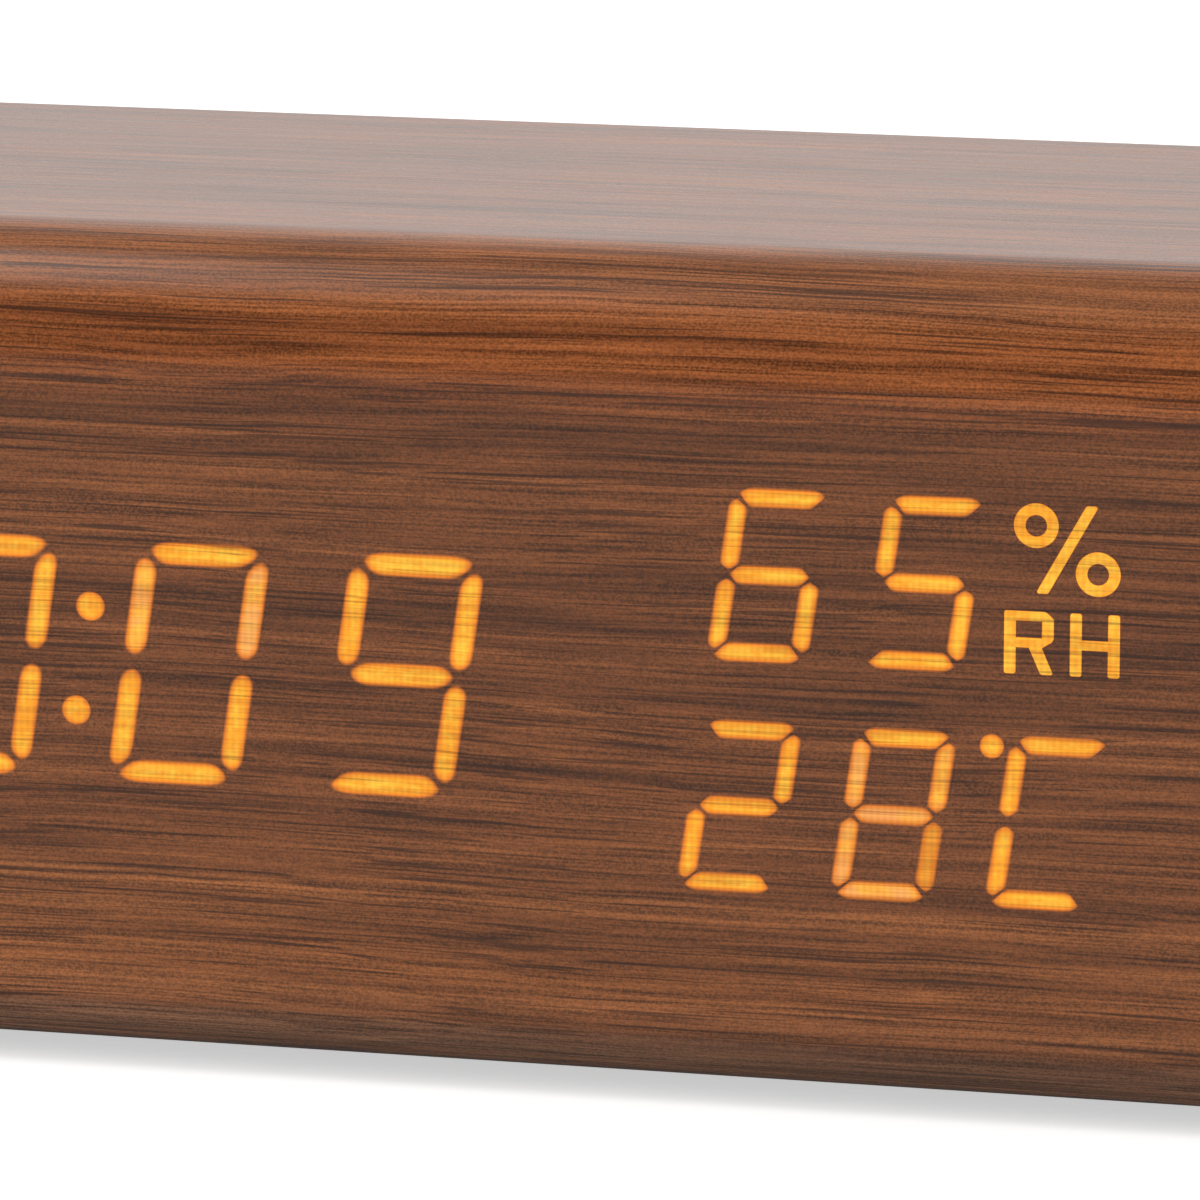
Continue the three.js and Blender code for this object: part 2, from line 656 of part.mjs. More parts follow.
// Display module: reflector, light guide, board, driver and screws, in the display's own X and Z
function display() {
  const place = displayMiddle.toArray();
  const boardOutline = roundedRectangle(reflectorSize.x + 2 * displayEar, reflectorSize.y, 0, place);
  const boardEnd = displayBoardY + circuitBoard;
  const board = shaped(alongY(boardOutline, displayBoardY, boardEnd), {
    cut: displayScrewPlaces.map((at) => pinOnY(boardScrew.shaft + seatGap, 0, boardEnd + overrun, at)),
  });
  const back = boardEnd + seatGap;
  const chipOutline = roundedRectangle(driverChip.width, driverChip.height, 0, driverChipPlace);
  const screw = screwToFront(back - wrap - pilotFloor - seatGap);
  return groupAt(displayOrigin,
    piece("display_reflector", reflectorGeometry(place), finishes.blackPlastic),
    piece("segment_light_guide", guideGeometry(place), finishes.lightGuide),
    piece("display_board", board, finishes.circuit),
    piece("display_driver", alongY(chipOutline, back, back + driverChip.depth), finishes.chip),
    ...displayScrewPlaces.map(([x, z], i) =>
      piece(`display_screw_${i + 1}`, screw, finishes.steel, [x, back, z])),
  );
}

// Rear cover with its holes, bosses, plug recess and coin cell bay, its outer face at y = 0
function coverGeometry() {
  const back = -cover.thickness;
  const usbAt = [boardLeft + usbPlace.x, boardBottom + usbPlace.z];
  const { width, height, radius, wall } = plugRecess;
  const floor = -plugRecess.depth;
  const sleeve = roundedRectangle(width + 2 * wall, height + 2 * wall, radius, usbAt);
  const box = roundedRectangle(bay.width + 2 * bay.wall, bay.height + 2 * bay.wall, 0, [bayX, 0]);
  const doorRoom = roundedRectangle(...roomRound({ x: doorWidth, y: doorHeight }), 0, [bayX, 0]);
  const lap = cover.thickness / 2; // joined solids share this much of the plate
  const pilot = [boardRearY - overrun, boardRearY + boardScrew.bite + seatGap];
  const through = [back - overrun, overrun];
  const headSink = [-rearScrew.sunk, overrun];
  const slot = (at) => roundedRectangle(vent.width, vent.height, vent.width / 2, at);
  const join = [
    alongY(sleeve, floor - wall, back + lap),
    alongY(box, -bay.depth - bay.wall, back + lap),
    ...bossPlaces.map((at) => pinOnY(boss.radius, boardRearY + seatGap, back + lap, at)),
  ];
  const cut = [
    ...buttonPlaces().map((at) => pinOnY(button.radius + slipGap, ...through, at, circleSteps)),
    ...rearScrewPlaces.map((at) => pinOnY(rearScrew.shaft + slipGap, ...through, at)),
    ...rearScrewPlaces.map((at) => pinOnY(rearScrew.head + slipGap, ...headSink, at, circleSteps)),
    ...bossPlaces.map((at) => pinOnY(boardScrew.shaft + seatGap, ...pilot, at)),
    ...ventPlaces().map((at) => alongY(slot(at), ...through)),
    ...soundHolePlaces().map((at) => pinOnY(soundHole.radius, ...through, at)),
    ...tongueReliefs(),
    alongY(roundedRectangle(width, height, radius, usbAt), floor, overrun),
    alongY(usbOutline(slipGap, usbAt), floor - wall - overrun, overrun),
    alongY(roundedRectangle(bay.width, bay.height, 0, [bayX, 0]), -bay.depth, overrun),
    alongY(doorRoom, -bayDoor.thickness - seatGap, overrun),
    pinOnY(fingerNotch.radius, -fingerNotch.depth, overrun, [bayX, doorHeight / 2], circleSteps),
  ];
  return shaped(alongY(roundedRectangle(coverWidth, coverHeight, cover.radius), back, 0), { join, cut });
}

function buttonPlaces() {
  const z = controlBoard.height / 2 - buttonDrop;
  return buttonNames.map((_, i) => [boardLeft + button.firstX + i * buttonPitch, z]);
}

function ventPlaces() {
  const first = boardLeft + climateSensor.x - ((vent.count - 1) * vent.pitch) / 2;
  const z = boardBottom + climateSensor.z;
  return Array.from({ length: vent.count }, (_, i) => [first + i * vent.pitch, z]);
}

// Sound holes over the buzzer: one in the middle and a ring round it
function soundHolePlaces() {
  const place = [boardLeft + buzzer.x, boardBottom + buzzer.z];
  return [place, ...circlePoints(place, soundHole.ring, soundHole.count).map((point) => point.toArray())];
}

// The socket's outline with round ends
function usbOutline(gap, place) {
  const [width, height] = [usb.width + 2 * gap, usb.height + 2 * gap];
  return roundedRectangle(width, height, height / 2, place);
}

// Room behind the cover's lower lip for the door's tongues
function tongueReliefs() {
  const top = -bay.height / 2;
  const bottom = -doorHeight / 2 - doorTongue.length - slipGap;
  const lip = -(bayDoor.thickness - doorTongue.thickness) + seatGap;
  return [-1, 1].map((side) => {
    const place = [bayX + (side * doorTongue.spacing) / 2, (top + bottom) / 2];
    const outline = roundedRectangle(doorTongue.width + 2 * slipGap, top - bottom, 0, place);
    return alongY(outline, -bayDoor.thickness - tongueRelief, lip);
  });
}

// The door, its outer lower edge on the hinge line at y = 0
function doorGeometry() {
  const plate = alongY(roundedRectangle(doorWidth, doorHeight, 0, [bayX, 0]), -bayDoor.thickness, 0);
  const tongues = [-1, 1].map((side) => {
    const { width, length, thickness, spacing } = doorTongue;
    const outline = roundedRectangle(width, 2 * length, 0, [bayX + (side * spacing) / 2, -doorHeight / 2]);
    return alongY(outline, -bayDoor.thickness, thickness - bayDoor.thickness);
  });
  return shaped(plate, { join: tongues });
}

// Coin cell bay: door, cell and its two contacts
function batteryBay() {
  const floor = -bay.depth + seatGap;
  const { radius, thickness, rimStep, canThickness } = coinCell;
  const from = floor + cellContact.thickness + seatGap;
  const [step, to] = [from + thickness - canThickness, from + thickness];
  const rim = radius - rimStep;
  const cell = turnedOnY([[0, from], [rim, from], [rim, step], [radius, step], [radius, to], [0, to]]);
  const { thickness: sheet, length, width, sideHeight, sideDepth } = cellContact;
  const base = alongY(roundedRectangle(length, width), floor, floor + sheet);
  const strip = alongY(roundedRectangle(sheet, sideHeight), from, from + sideDepth);
  return groupAt([bayX, 0, 0],
    piece("battery_door", doorGeometry(), finishes.blackPlastic, [-bayX, 0, 0]),
    piece("backup_cell", cell, finishes.steel),
    piece("cell_contact_base", base, finishes.steel),
    piece("cell_contact_side", strip, finishes.steel, [radius + seatGap + sheet / 2, 0, 0]),
  );
}

// One button, the plunger that it presses and the switch round the plunger
function buttonAndSwitch(name, [x, z]) {
  const { radius, proud, flange, flangeThickness, stem, stemLength } = button;
  const flangeTop = -cover.thickness - seatGap;
  const stemTop = flangeTop - flangeThickness;
  const stemEnd = stemTop - stemLength;
  const edge = flangeThickness / 4;
  const cap = turnedOnY([[0, stemEnd], [stem, stemEnd], [stem, stemTop], [flange, stemTop],
    [flange, flangeTop], [radius, flangeTop], [radius, proud - edge], [radius - edge, proud], [0, proud]]);
  const bodyFrom = boardRearY + seatGap;
  const bodyTo = bodyFrom + tactSwitch.height - seatGap;
  const bore = bodyTo - tactSwitch.plungerSunk - buttonTravel - seatGap;
  const body = shaped(alongY(roundedRectangle(tactSwitch.side, tactSwitch.side), bodyFrom, bodyTo), {
    cut: [pinOnY(tactSwitch.plunger + slipGap, bore, bodyTo + overrun)],
  });
  const plunger = pinOnY(tactSwitch.plunger, bodyTo - tactSwitch.plungerSunk, stemEnd - seatGap);
  return groupAt([x, 0, z],
    piece(`${name}_button`, cap, finishes.buttonPlastic),
    piece(`${name}_switch_plunger`, plunger, finishes.chip),
    piece(`${name}_switch`, body, finishes.steel),
  );
}

// A flexible strip that hangs in a U between the two boards, in Y and Z
function ribbonGeometry(fromY, toY) {
  const line = (inset) => {
    const { landing, drop, radius } = ribbon;
    const [near, far, low] = [fromY + inset, toY - inset, inset - drop - radius];
    const bend = radius - inset;
    return roundedOutline([[near, landing], [near, low, bend], [far, low, bend], [far, landing]]);
  };
  return alongX([...line(0), ...line(ribbon.thickness).reverse()], -ribbon.width / 2, ribbon.width / 2);
}

// Control board and what is soldered to it, from the lower left corner of its rear face
function controls() {
  const { height: boardHeight } = controlBoard;
  const outline = roundedRectangle(boardWidth, boardHeight, 0, [boardWidth / 2, boardHeight / 2]);
  const holes = bossPlaces.map(([x, z]) => [x - boardLeft, z - boardBottom]);
  const board = shaped(alongY(outline, -circuitBoard, 0), {
    cut: holes.map((at) => pinOnY(boardScrew.shaft + seatGap, -circuitBoard - overrun, overrun, at)),
  });
  const front = -circuitBoard - seatGap;
  const screw = screwToBack(boardScrew.bite + circuitBoard);
  const onFront = ({ name, width, depth, height, x, z }) =>
    piece(name, alongY(roundedRectangle(width, height, 0, [x, z]), front - depth, front), finishes.chip);
  const { radius, height, x: buzzerX, z: buzzerZ, hole, holeDepth } = buzzer;
  const sounder = shaped(pinOnY(radius, seatGap, height, [buzzerX, buzzerZ], circleSteps), {
    cut: [pinOnY(hole, height - holeDepth, height + overrun, [buzzerX, buzzerZ])],
  });
  const { side, height: sensorHeight, x: sensorX, z: sensorZ } = climateSensor;
  const sensor = alongY(roundedRectangle(side, side, 0, [sensorX, sensorZ]), seatGap, sensorHeight);
  const ribbonFrom = frontY + displayBoardY + circuitBoard + seatGap - coverFaceY - boardRearY;
  return groupAt([boardLeft, boardRearY, boardBottom],
    piece("control_board", board, finishes.circuit),
    ...chips.map(onFront),
    onFront({ name: "coil_connector", ...connector }),
    piece("buzzer", sounder, finishes.chip),
    piece("climate_sensor", sensor, finishes.steel),
    piece("ribbon_cable", ribbonGeometry(ribbonFrom, front), finishes.polyimide, [ribbon.x, 0, ribbon.z]),
    ...usbSocket(),
    ...holes.map(([x, z], i) => piece(`control_screw_${i + 1}`, screw, finishes.steel, [x, front, z])),
  );
}

// The socket's steel shell and the plastic tongue that stands in it
function usbSocket() {
  const place = [usbPlace.x, usbPlace.z];
  const mouth = -boardRearY - plugRecess.depth + usb.mouthGap;
  const shell = alongY(usbOutline(0, place), seatGap, mouth, [usbOutline(-usb.wall, place)]);
  const tongue = roundedRectangle(usb.tongueWidth, usb.tongueHeight, 0, place);
  const core = shaped(alongY(usbOutline(-usb.wall - seatGap, place), seatGap, usb.base), {
    join: [alongY(tongue, usb.base / 2, mouth - tongueInset)],
  });
  return [piece("usb_shell", shell, finishes.steel), piece("usb_tongue", core, finishes.chip)];
}

// Everything that comes away with the rear cover, seen from the cover's outer face at y = 0
function rearAssembly() {
  const screwLength = cover.thickness - rearScrew.sunk + rearScrew.bite;
  const screw = screwGeometry(rearScrew, screwLength);
  return groupAt([0, coverFaceY, middleZ],
    piece("rear_cover", coverGeometry(), finishes.blackPlastic),
    ...rearScrewPlaces.map(([x, z], i) =>
      piece(`rear_screw_${i + 1}`, screw, finishes.steel, [x, seatGap - rearScrew.sunk, z])),
    ...buttonPlaces().map((at, i) => buttonAndSwitch(buttonNames[i], at)),
    controls(),
    batteryBay(),
  );
}

// The lead's route from the coil's edge down to the connector, from the ceiling over the coil's middle
function leadRoute() {
  const coilZ = pocketDepth - seatGap - coil.thickness / 2;
  const boardFront = coverFaceY + boardRearY - circuitBoard - coilY;
  const endX = boardLeft + connector.x;
  const endY = boardFront - connector.depth / 2;
  const endZ = middleZ + boardBottom + connector.z + connector.height / 2 + slipGap - ceilingZ;
  const below = -carrier.thickness - lead.bend;
  return new THREE.CatmullRomCurve3([
    new THREE.Vector3(leadX, 0, coilZ),
    new THREE.Vector3(leadX, 0, below),
    new THREE.Vector3((leadX + endX) / 2, endY / 2, below + (endZ - below) / 3),
    new THREE.Vector3(endX, endY, endZ + lead.bend),
    new THREE.Vector3(endX, endY, endZ),
  ]);
}

// Charging coil, its shield and carrier, with the ceiling of the hollow at z = 0
function charger() {
  const top = pocketDepth - seatGap;
  const coilLow = top - coil.thickness;
  const shieldTop = coilLow - seatGap;
  const { inner, outer } = coil;
  const start = [inner, coilLow];
  const winding = turnedOnZ([start, [outer, coilLow], [outer, top], [inner, top], start]);
  const shield = pinOnZ(ferrite.radius, shieldTop - ferrite.thickness, shieldTop, [0, 0], circleSteps);
  const plateTop = -seatGap;
  const half = outer + seatGap + slipGap + carrier.lip;
  const plateOutline = roundedRectangle(2 * earX, 2 * half, half / 2);
  const plate = alongZ(plateOutline, plateTop - carrier.thickness, plateTop);
  const padTop = shieldTop - ferrite.thickness - seatGap;
  const pad = pinOnZ(outer - slipGap, plateTop - carrier.thickness / 2, padTop, [0, 0], circleSteps);
  const through = [-carrier.thickness - overrun, overrun];
  const tray = shaped(plate, {
    join: [pad],
    cut: [
      pinOnZ(boardScrew.shaft + seatGap, ...through, [-carrierScrewX, 0]),
      pinOnZ(boardScrew.shaft + seatGap, ...through, [carrierScrewX, 0]),
      pinOnZ(lead.holeRadius, ...through, [leadX, 0]),
    ],
  });
  const screw = screwUp(carrier.thickness + coreWall - pilotFloor - seatGap);
  const screwZ = plateTop - carrier.thickness - seatGap;
  const section = new THREE.Shape(circlePoints([0, 0], lead.radius, wireSides));
  const options = { steps: wireSteps, extrudePath: leadRoute(), bevelEnabled: false };
  const wire = new THREE.ExtrudeGeometry(section, options);
  return groupAt([0, coilY, ceilingZ],
    piece("charging_coil", winding, finishes.copper),
    piece("ferrite_shield", shield, finishes.ferrite),
    piece("coil_carrier", tray, finishes.whitePlastic),
    piece("coil_screw_1", screw, finishes.steel, [-carrierScrewX, 0, screwZ]),
    piece("coil_screw_2", screw, finishes.steel, [carrierScrewX, 0, screwZ]),
    piece("coil_lead", wire, finishes.copper),
  );
}

const clock = new THREE.Group();
clock.add(casing(), display(), rearAssembly(), charger());

export default clock;
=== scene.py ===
"""A desk clock in a block wrapped in walnut film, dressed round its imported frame. Lengths are in metres."""
import sys
import json
import logging
import math
from dataclasses import dataclass, field
from enum import Enum
from typing import Callable, Iterable, Protocol, Union

import bmesh
import bpy
from mathutils import Matrix, Vector


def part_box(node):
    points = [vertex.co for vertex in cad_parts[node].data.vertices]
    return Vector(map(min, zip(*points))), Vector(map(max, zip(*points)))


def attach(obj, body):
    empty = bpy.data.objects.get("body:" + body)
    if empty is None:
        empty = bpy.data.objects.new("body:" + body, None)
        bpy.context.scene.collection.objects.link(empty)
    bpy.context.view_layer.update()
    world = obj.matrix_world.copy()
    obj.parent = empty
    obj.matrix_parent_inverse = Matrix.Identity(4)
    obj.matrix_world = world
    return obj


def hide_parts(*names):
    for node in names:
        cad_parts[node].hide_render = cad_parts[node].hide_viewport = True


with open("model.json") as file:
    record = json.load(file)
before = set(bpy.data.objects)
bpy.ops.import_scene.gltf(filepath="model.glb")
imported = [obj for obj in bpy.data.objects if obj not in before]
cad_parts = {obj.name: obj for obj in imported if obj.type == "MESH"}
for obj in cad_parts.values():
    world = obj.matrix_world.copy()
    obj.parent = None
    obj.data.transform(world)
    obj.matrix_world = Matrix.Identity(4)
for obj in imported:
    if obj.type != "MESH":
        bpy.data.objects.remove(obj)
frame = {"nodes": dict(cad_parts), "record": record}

log = logging.getLogger("clock")

MM = 0.001
MM_PER_METRE = 1000.0
# How far apart places may lie that count as the same, how near vertices are joined, and the decimals of a key
SLACK = 0.01 * MM
WELD = 0.001 * MM
DECIMALS = 9
# The least share of a face's normal along an axis that it faces, and the least share of a mitre's length
FACING = 0.9
LEAST_MITRE = 0.5
BACKWARD = Vector((0, 1, 0))
UPWARD = Vector((0, 0, 1))
UPRIGHT = Matrix.Rotation(math.radians(90), 4, "X")
WHITE_LIGHT = (1, 1, 1, 1)

Colour = tuple[float, float, float]
Stops = tuple[tuple[float, Colour], ...]
Number = Union[float, int]
Socket = bpy.types.NodeSocket
Input = Union[Number, tuple, Vector, Socket]


class Slot(Enum):
    """The record's material slots."""

    FILM = "wood_film"
    BOARD = "board_core"
    BLACK = "black_plastic"
    KEY = "button_plastic"
    WHITE = "white_plastic"
    RUBBER = "rubber"
    GUIDE = "light_guide"
    CIRCUIT = "circuit"
    CHIP = "chip"
    COPPER = "copper"
    FERRITE = "ferrite"
    STEEL = "steel"
    POLYIMIDE = "polyimide"


class Body(Enum):
    """The frame's bodies."""

    CASE = "case"
    SET = "set_key"
    UP = "up_key"
    DOWN = "down_key"
    ALARM = "alarm_key"
    DOOR = "cell_door"


class Along(Enum):
    """The clock's axis that a grain runs along, as degrees turned about Z."""

    WIDTH = 0.0
    DEPTH = 90.0


def mm(*lengths: Number) -> Vector:
    """A point or size given in millimetres, in metres."""
    return Vector(lengths) * MM


def centre_of(low: Vector, high: Vector) -> Vector:
    """The middle of a box."""
    return (low + high) / 2


def mean(places: Iterable[Vector]) -> Vector:
    """The mean of some places."""
    listed = list(places)
    return sum(listed, Vector()) / len(listed)


def verts_of(parts: Iterable) -> list[bmesh.types.BMVert]:
    """The vertices among the parts that an operator made."""
    return [part for part in parts if isinstance(part, bmesh.types.BMVert)]


@dataclass(frozen=True)
class Grain:
    """One layer of noise in a finish.

    It has its features a millimetre along X, Y and Z, its octaves, how strong the finer ones are, how far it
    is moved, the ends between which its contrast is raised, if any, and its weight in a sum of layers.
    """

    per_mm: tuple
    octaves: int = 2
    rough: float = 0.5
    moved: float = 0.0
    ends: tuple = ()
    weight: float = 1.0


class Nodes:
    """A shader's nodes, laid out by short calls that hand back sockets."""

    noise_ends: tuple = (0.3, 0.7)

    def __init__(self, tree: bpy.types.NodeTree) -> None:
        """Takes the tree that the nodes are added to."""
        self.tree = tree

    def feed(self, socket: Socket, value: Input) -> None:
        """Links a socket to another one, or sets its value.

        Args:
            socket: The input to feed.
            value: An output socket, a number or a tuple.
        """
        if isinstance(value, bpy.types.NodeSocket):
            self.tree.links.new(value, socket)
        else:
            socket.default_value = value

    def add(self, kind: str, values: dict[Union[int, str], Input], **settings: object) -> bpy.types.Node:
        """Adds one node.

        Args:
            kind: The node's type.
            values: What each input gets, by its name or index.
            **settings: The node's own settings.

        Returns:
            The new node.
        """
        node = self.tree.nodes.new(kind)
        for name, setting in settings.items():
            setattr(node, name, setting)
        for key, value in values.items():
            self.feed(node.inputs[key], value)
        return node

    def calc(self, operation: str, *values: Input, clamp: bool = False) -> Socket:
        """The result of one sum.

        Args:
            operation: The math node's operation.
            *values: Its inputs, in order.
            clamp: Whether the result is held between 0 and 1.

        Returns:
            The result's socket.
        """
        node = self.add("ShaderNodeMath", dict(enumerate(values)), operation=operation, use_clamp=clamp)
        return node.outputs[0]

    def folded(self, value: Socket) -> Socket:
        """How far a number lies from half way between two whole ones."""
        return self.calc("ABSOLUTE", self.calc("SUBTRACT", self.calc("FRACT", value), 0.5))

    def weighed(self, *parts: tuple[Socket, float], start: Input = 0.0) -> Socket:
        """A sum of values, each times its weight.

        Args:
            *parts: Each value and its weight.
            start: What they are added to.

        Returns:
            The sum's socket.
        """
        for value, weight in parts:
            start = self.calc("MULTIPLY_ADD", value, weight, start)
        return start

    def place(self, turn: float = 0.0) -> Socket:
        """The place on the clock in millimetres.

        Args:
            turn: Degrees that a pattern is turned about Z.

        Returns:
            The place's socket.
        """
        spot = self.add("ShaderNodeTexCoord", {})
        turned = {"Vector": spot.outputs["Object"], "Rotation": (0, 0, math.radians(turn))}
        turned["Scale"] = (MM_PER_METRE,) * 3
        return self.add("ShaderNodeMapping", turned).outputs[0]

    def axes(self, place: Socket) -> list[Socket]:
        """A place's X, Y and Z."""
        return list(self.add("ShaderNodeSeparateXYZ", {0: place}).outputs)

    def stretch(self, place: Socket, per_mm: tuple, moved: float = 0.0) -> Socket:
        """A place scaled by its own number of features a millimetre along each axis.

        Args:
            place: The place in millimetres.
            per_mm: Features a millimetre along X, Y and Z.
            moved: How far the pattern is moved, in features.

        Returns:
            The scaled place's socket.
        """
        values = {"Vector": place, "Scale": per_mm, "Location": (moved,) * 3}
        return self.add("ShaderNodeMapping", values).outputs[0]

    def grain(self, place: Socket, layer: Grain) -> Socket:
        """One layer of noise, from 0 to 1 and mostly near 0.5 unless its contrast is raised.

        Args:
            place: The place in millimetres.
            layer: The layer.

        Returns:
            The noise's value.
        """
        values = {"Vector": self.stretch(place, layer.per_mm, layer.moved), "Scale": 1}
        values.update({"Detail": layer.octaves, "Roughness": layer.rough})
        value = self.add("ShaderNodeTexNoise", values).outputs[0]
        return self.span(value, *layer.ends) if layer.ends else value

    def grains(self, place: Socket, *layers: Grain, start: Input = 0.0) -> Socket:
        """Layers of noise added up by their weights.

        Args:
            place: The place in millimetres.
            *layers: The layers.
            start: What they are added to.

        Returns:
            The sum's socket.
        """
        return self.weighed(*((self.grain(place, layer), layer.weight) for layer in layers), start=start)

    def span(self, value: Socket, start: Input, end: Input, low: Input = 0, high: Input = 1) -> Socket:
        """A value taken smoothly from one range to another.

        Args:
            value: The value.
            start: Where the change starts.
            end: Where it ends.
            low: The result up to the start.
            high: The result past the end.

        Returns:
            The result's socket.
        """
        values = {"Value": value, "From Min": start, "From Max": end, "To Min": low, "To Max": high}
        return self.add("ShaderNodeMapRange", values, interpolation_type="SMOOTHSTEP").outputs[0]

    def vary(self, noise: Socket, limits: tuple[float, float]) -> Socket:
        """A noise's value spread between two limits."""
        return self.span(noise, *self.noise_ends, *limits)

    def ramp(self, value: Socket, stops: Stops) -> Socket:
        """A colour picked along a ramp.

        Args:
            value: Where on the ramp.
            stops: Each stop's place and colour.

        Returns:
            The colour's socket.
        """
        node = self.add("ShaderNodeValToRGB", {"Fac": value})
        for spot, _ in stops[1:-1]:
            node.color_ramp.elements.new(spot)
        for stop, (spot, colour) in zip(node.color_ramp.elements, stops):
            stop.position = spot
            stop.color = (*colour, 1)
        return node.outputs[0]

    def blend(self, share: Input, first: Input, second: Input, kind: str = "MIX") -> Socket:
        """Two colours mixed.

        Args:
            share: How much of the second.
            first: The first colour.
            second: The second colour.
            kind: The mix node's blend type.

        Returns:
            The mixed colour's socket.
        """
        colours = [(*c, 1) if isinstance(c, tuple) else c for c in (first, second)]
        values = {0: share, 6: colours[0], 7: colours[1]}
        return self.add("ShaderNodeMix", values, data_type="RGBA", blend_type=kind).outputs[2]

    def times(self, first: Input, second: Input) -> Socket:
        """Two colours multiplied."""
        return self.blend(1.0, first, second, "MULTIPLY")

    def tinted(self, colour: Input, value: Socket) -> Socket:
        """A colour multiplied by a number."""
        grey = self.add("ShaderNodeCombineColor", dict.fromkeys(range(3), value)).outputs[0]
        return self.times(colour, grey)

    def mixed(self, share: Input, first: Socket, second: Socket) -> Socket:
        """Two shaders mixed by the share of the second."""
        return self.add("ShaderNodeMixShader", {0: share, 1: first, 2: second}).outputs[0]

    def attribute(self, name: str, output: str = "Fac") -> Socket:
        """The value of a mesh's own attribute, as a number or as its Vector output."""
        return self.add("ShaderNodeAttribute", {}, attribute_name=name).outputs[output]


class NodeSheet(Nodes):
    """One material's nodes."""

    def __init__(self, name: str) -> None:
        """Starts a material with its principled shader.

        Args:
            name: The material's name.
        """
        self.material = bpy.data.materials.new(name)
        self.material.use_nodes = True
        super().__init__(self.material.node_tree)
        self.shader = self.tree.nodes["Principled BSDF"]

    def shade(self, **values: Input) -> None:
        """Feeds the shader's inputs.

        Args:
            **values: Input names with underscores for spaces, and what each gets.
        """
        for name, value in values.items():
            self.feed(self.shader.inputs[name.replace("_", " ")], value)

    def relief(self, height: Socket, depth: float, strength: float) -> None:
        """Gives the shader a fine relief.

        Args:
            height: The relief's height, from 0 to 1.
            depth: How deep it is, in millimetres.
            strength: How much of it shows.
        """
        values = {"Height": height, "Distance": depth * MM, "Strength": strength}
        self.shade(Normal=self.add("ShaderNodeBump", values).outputs[0])


class Finish(Protocol):
    """What a piece is dressed in."""

    def material(self) -> bpy.types.Material:
        """The finish as a material."""


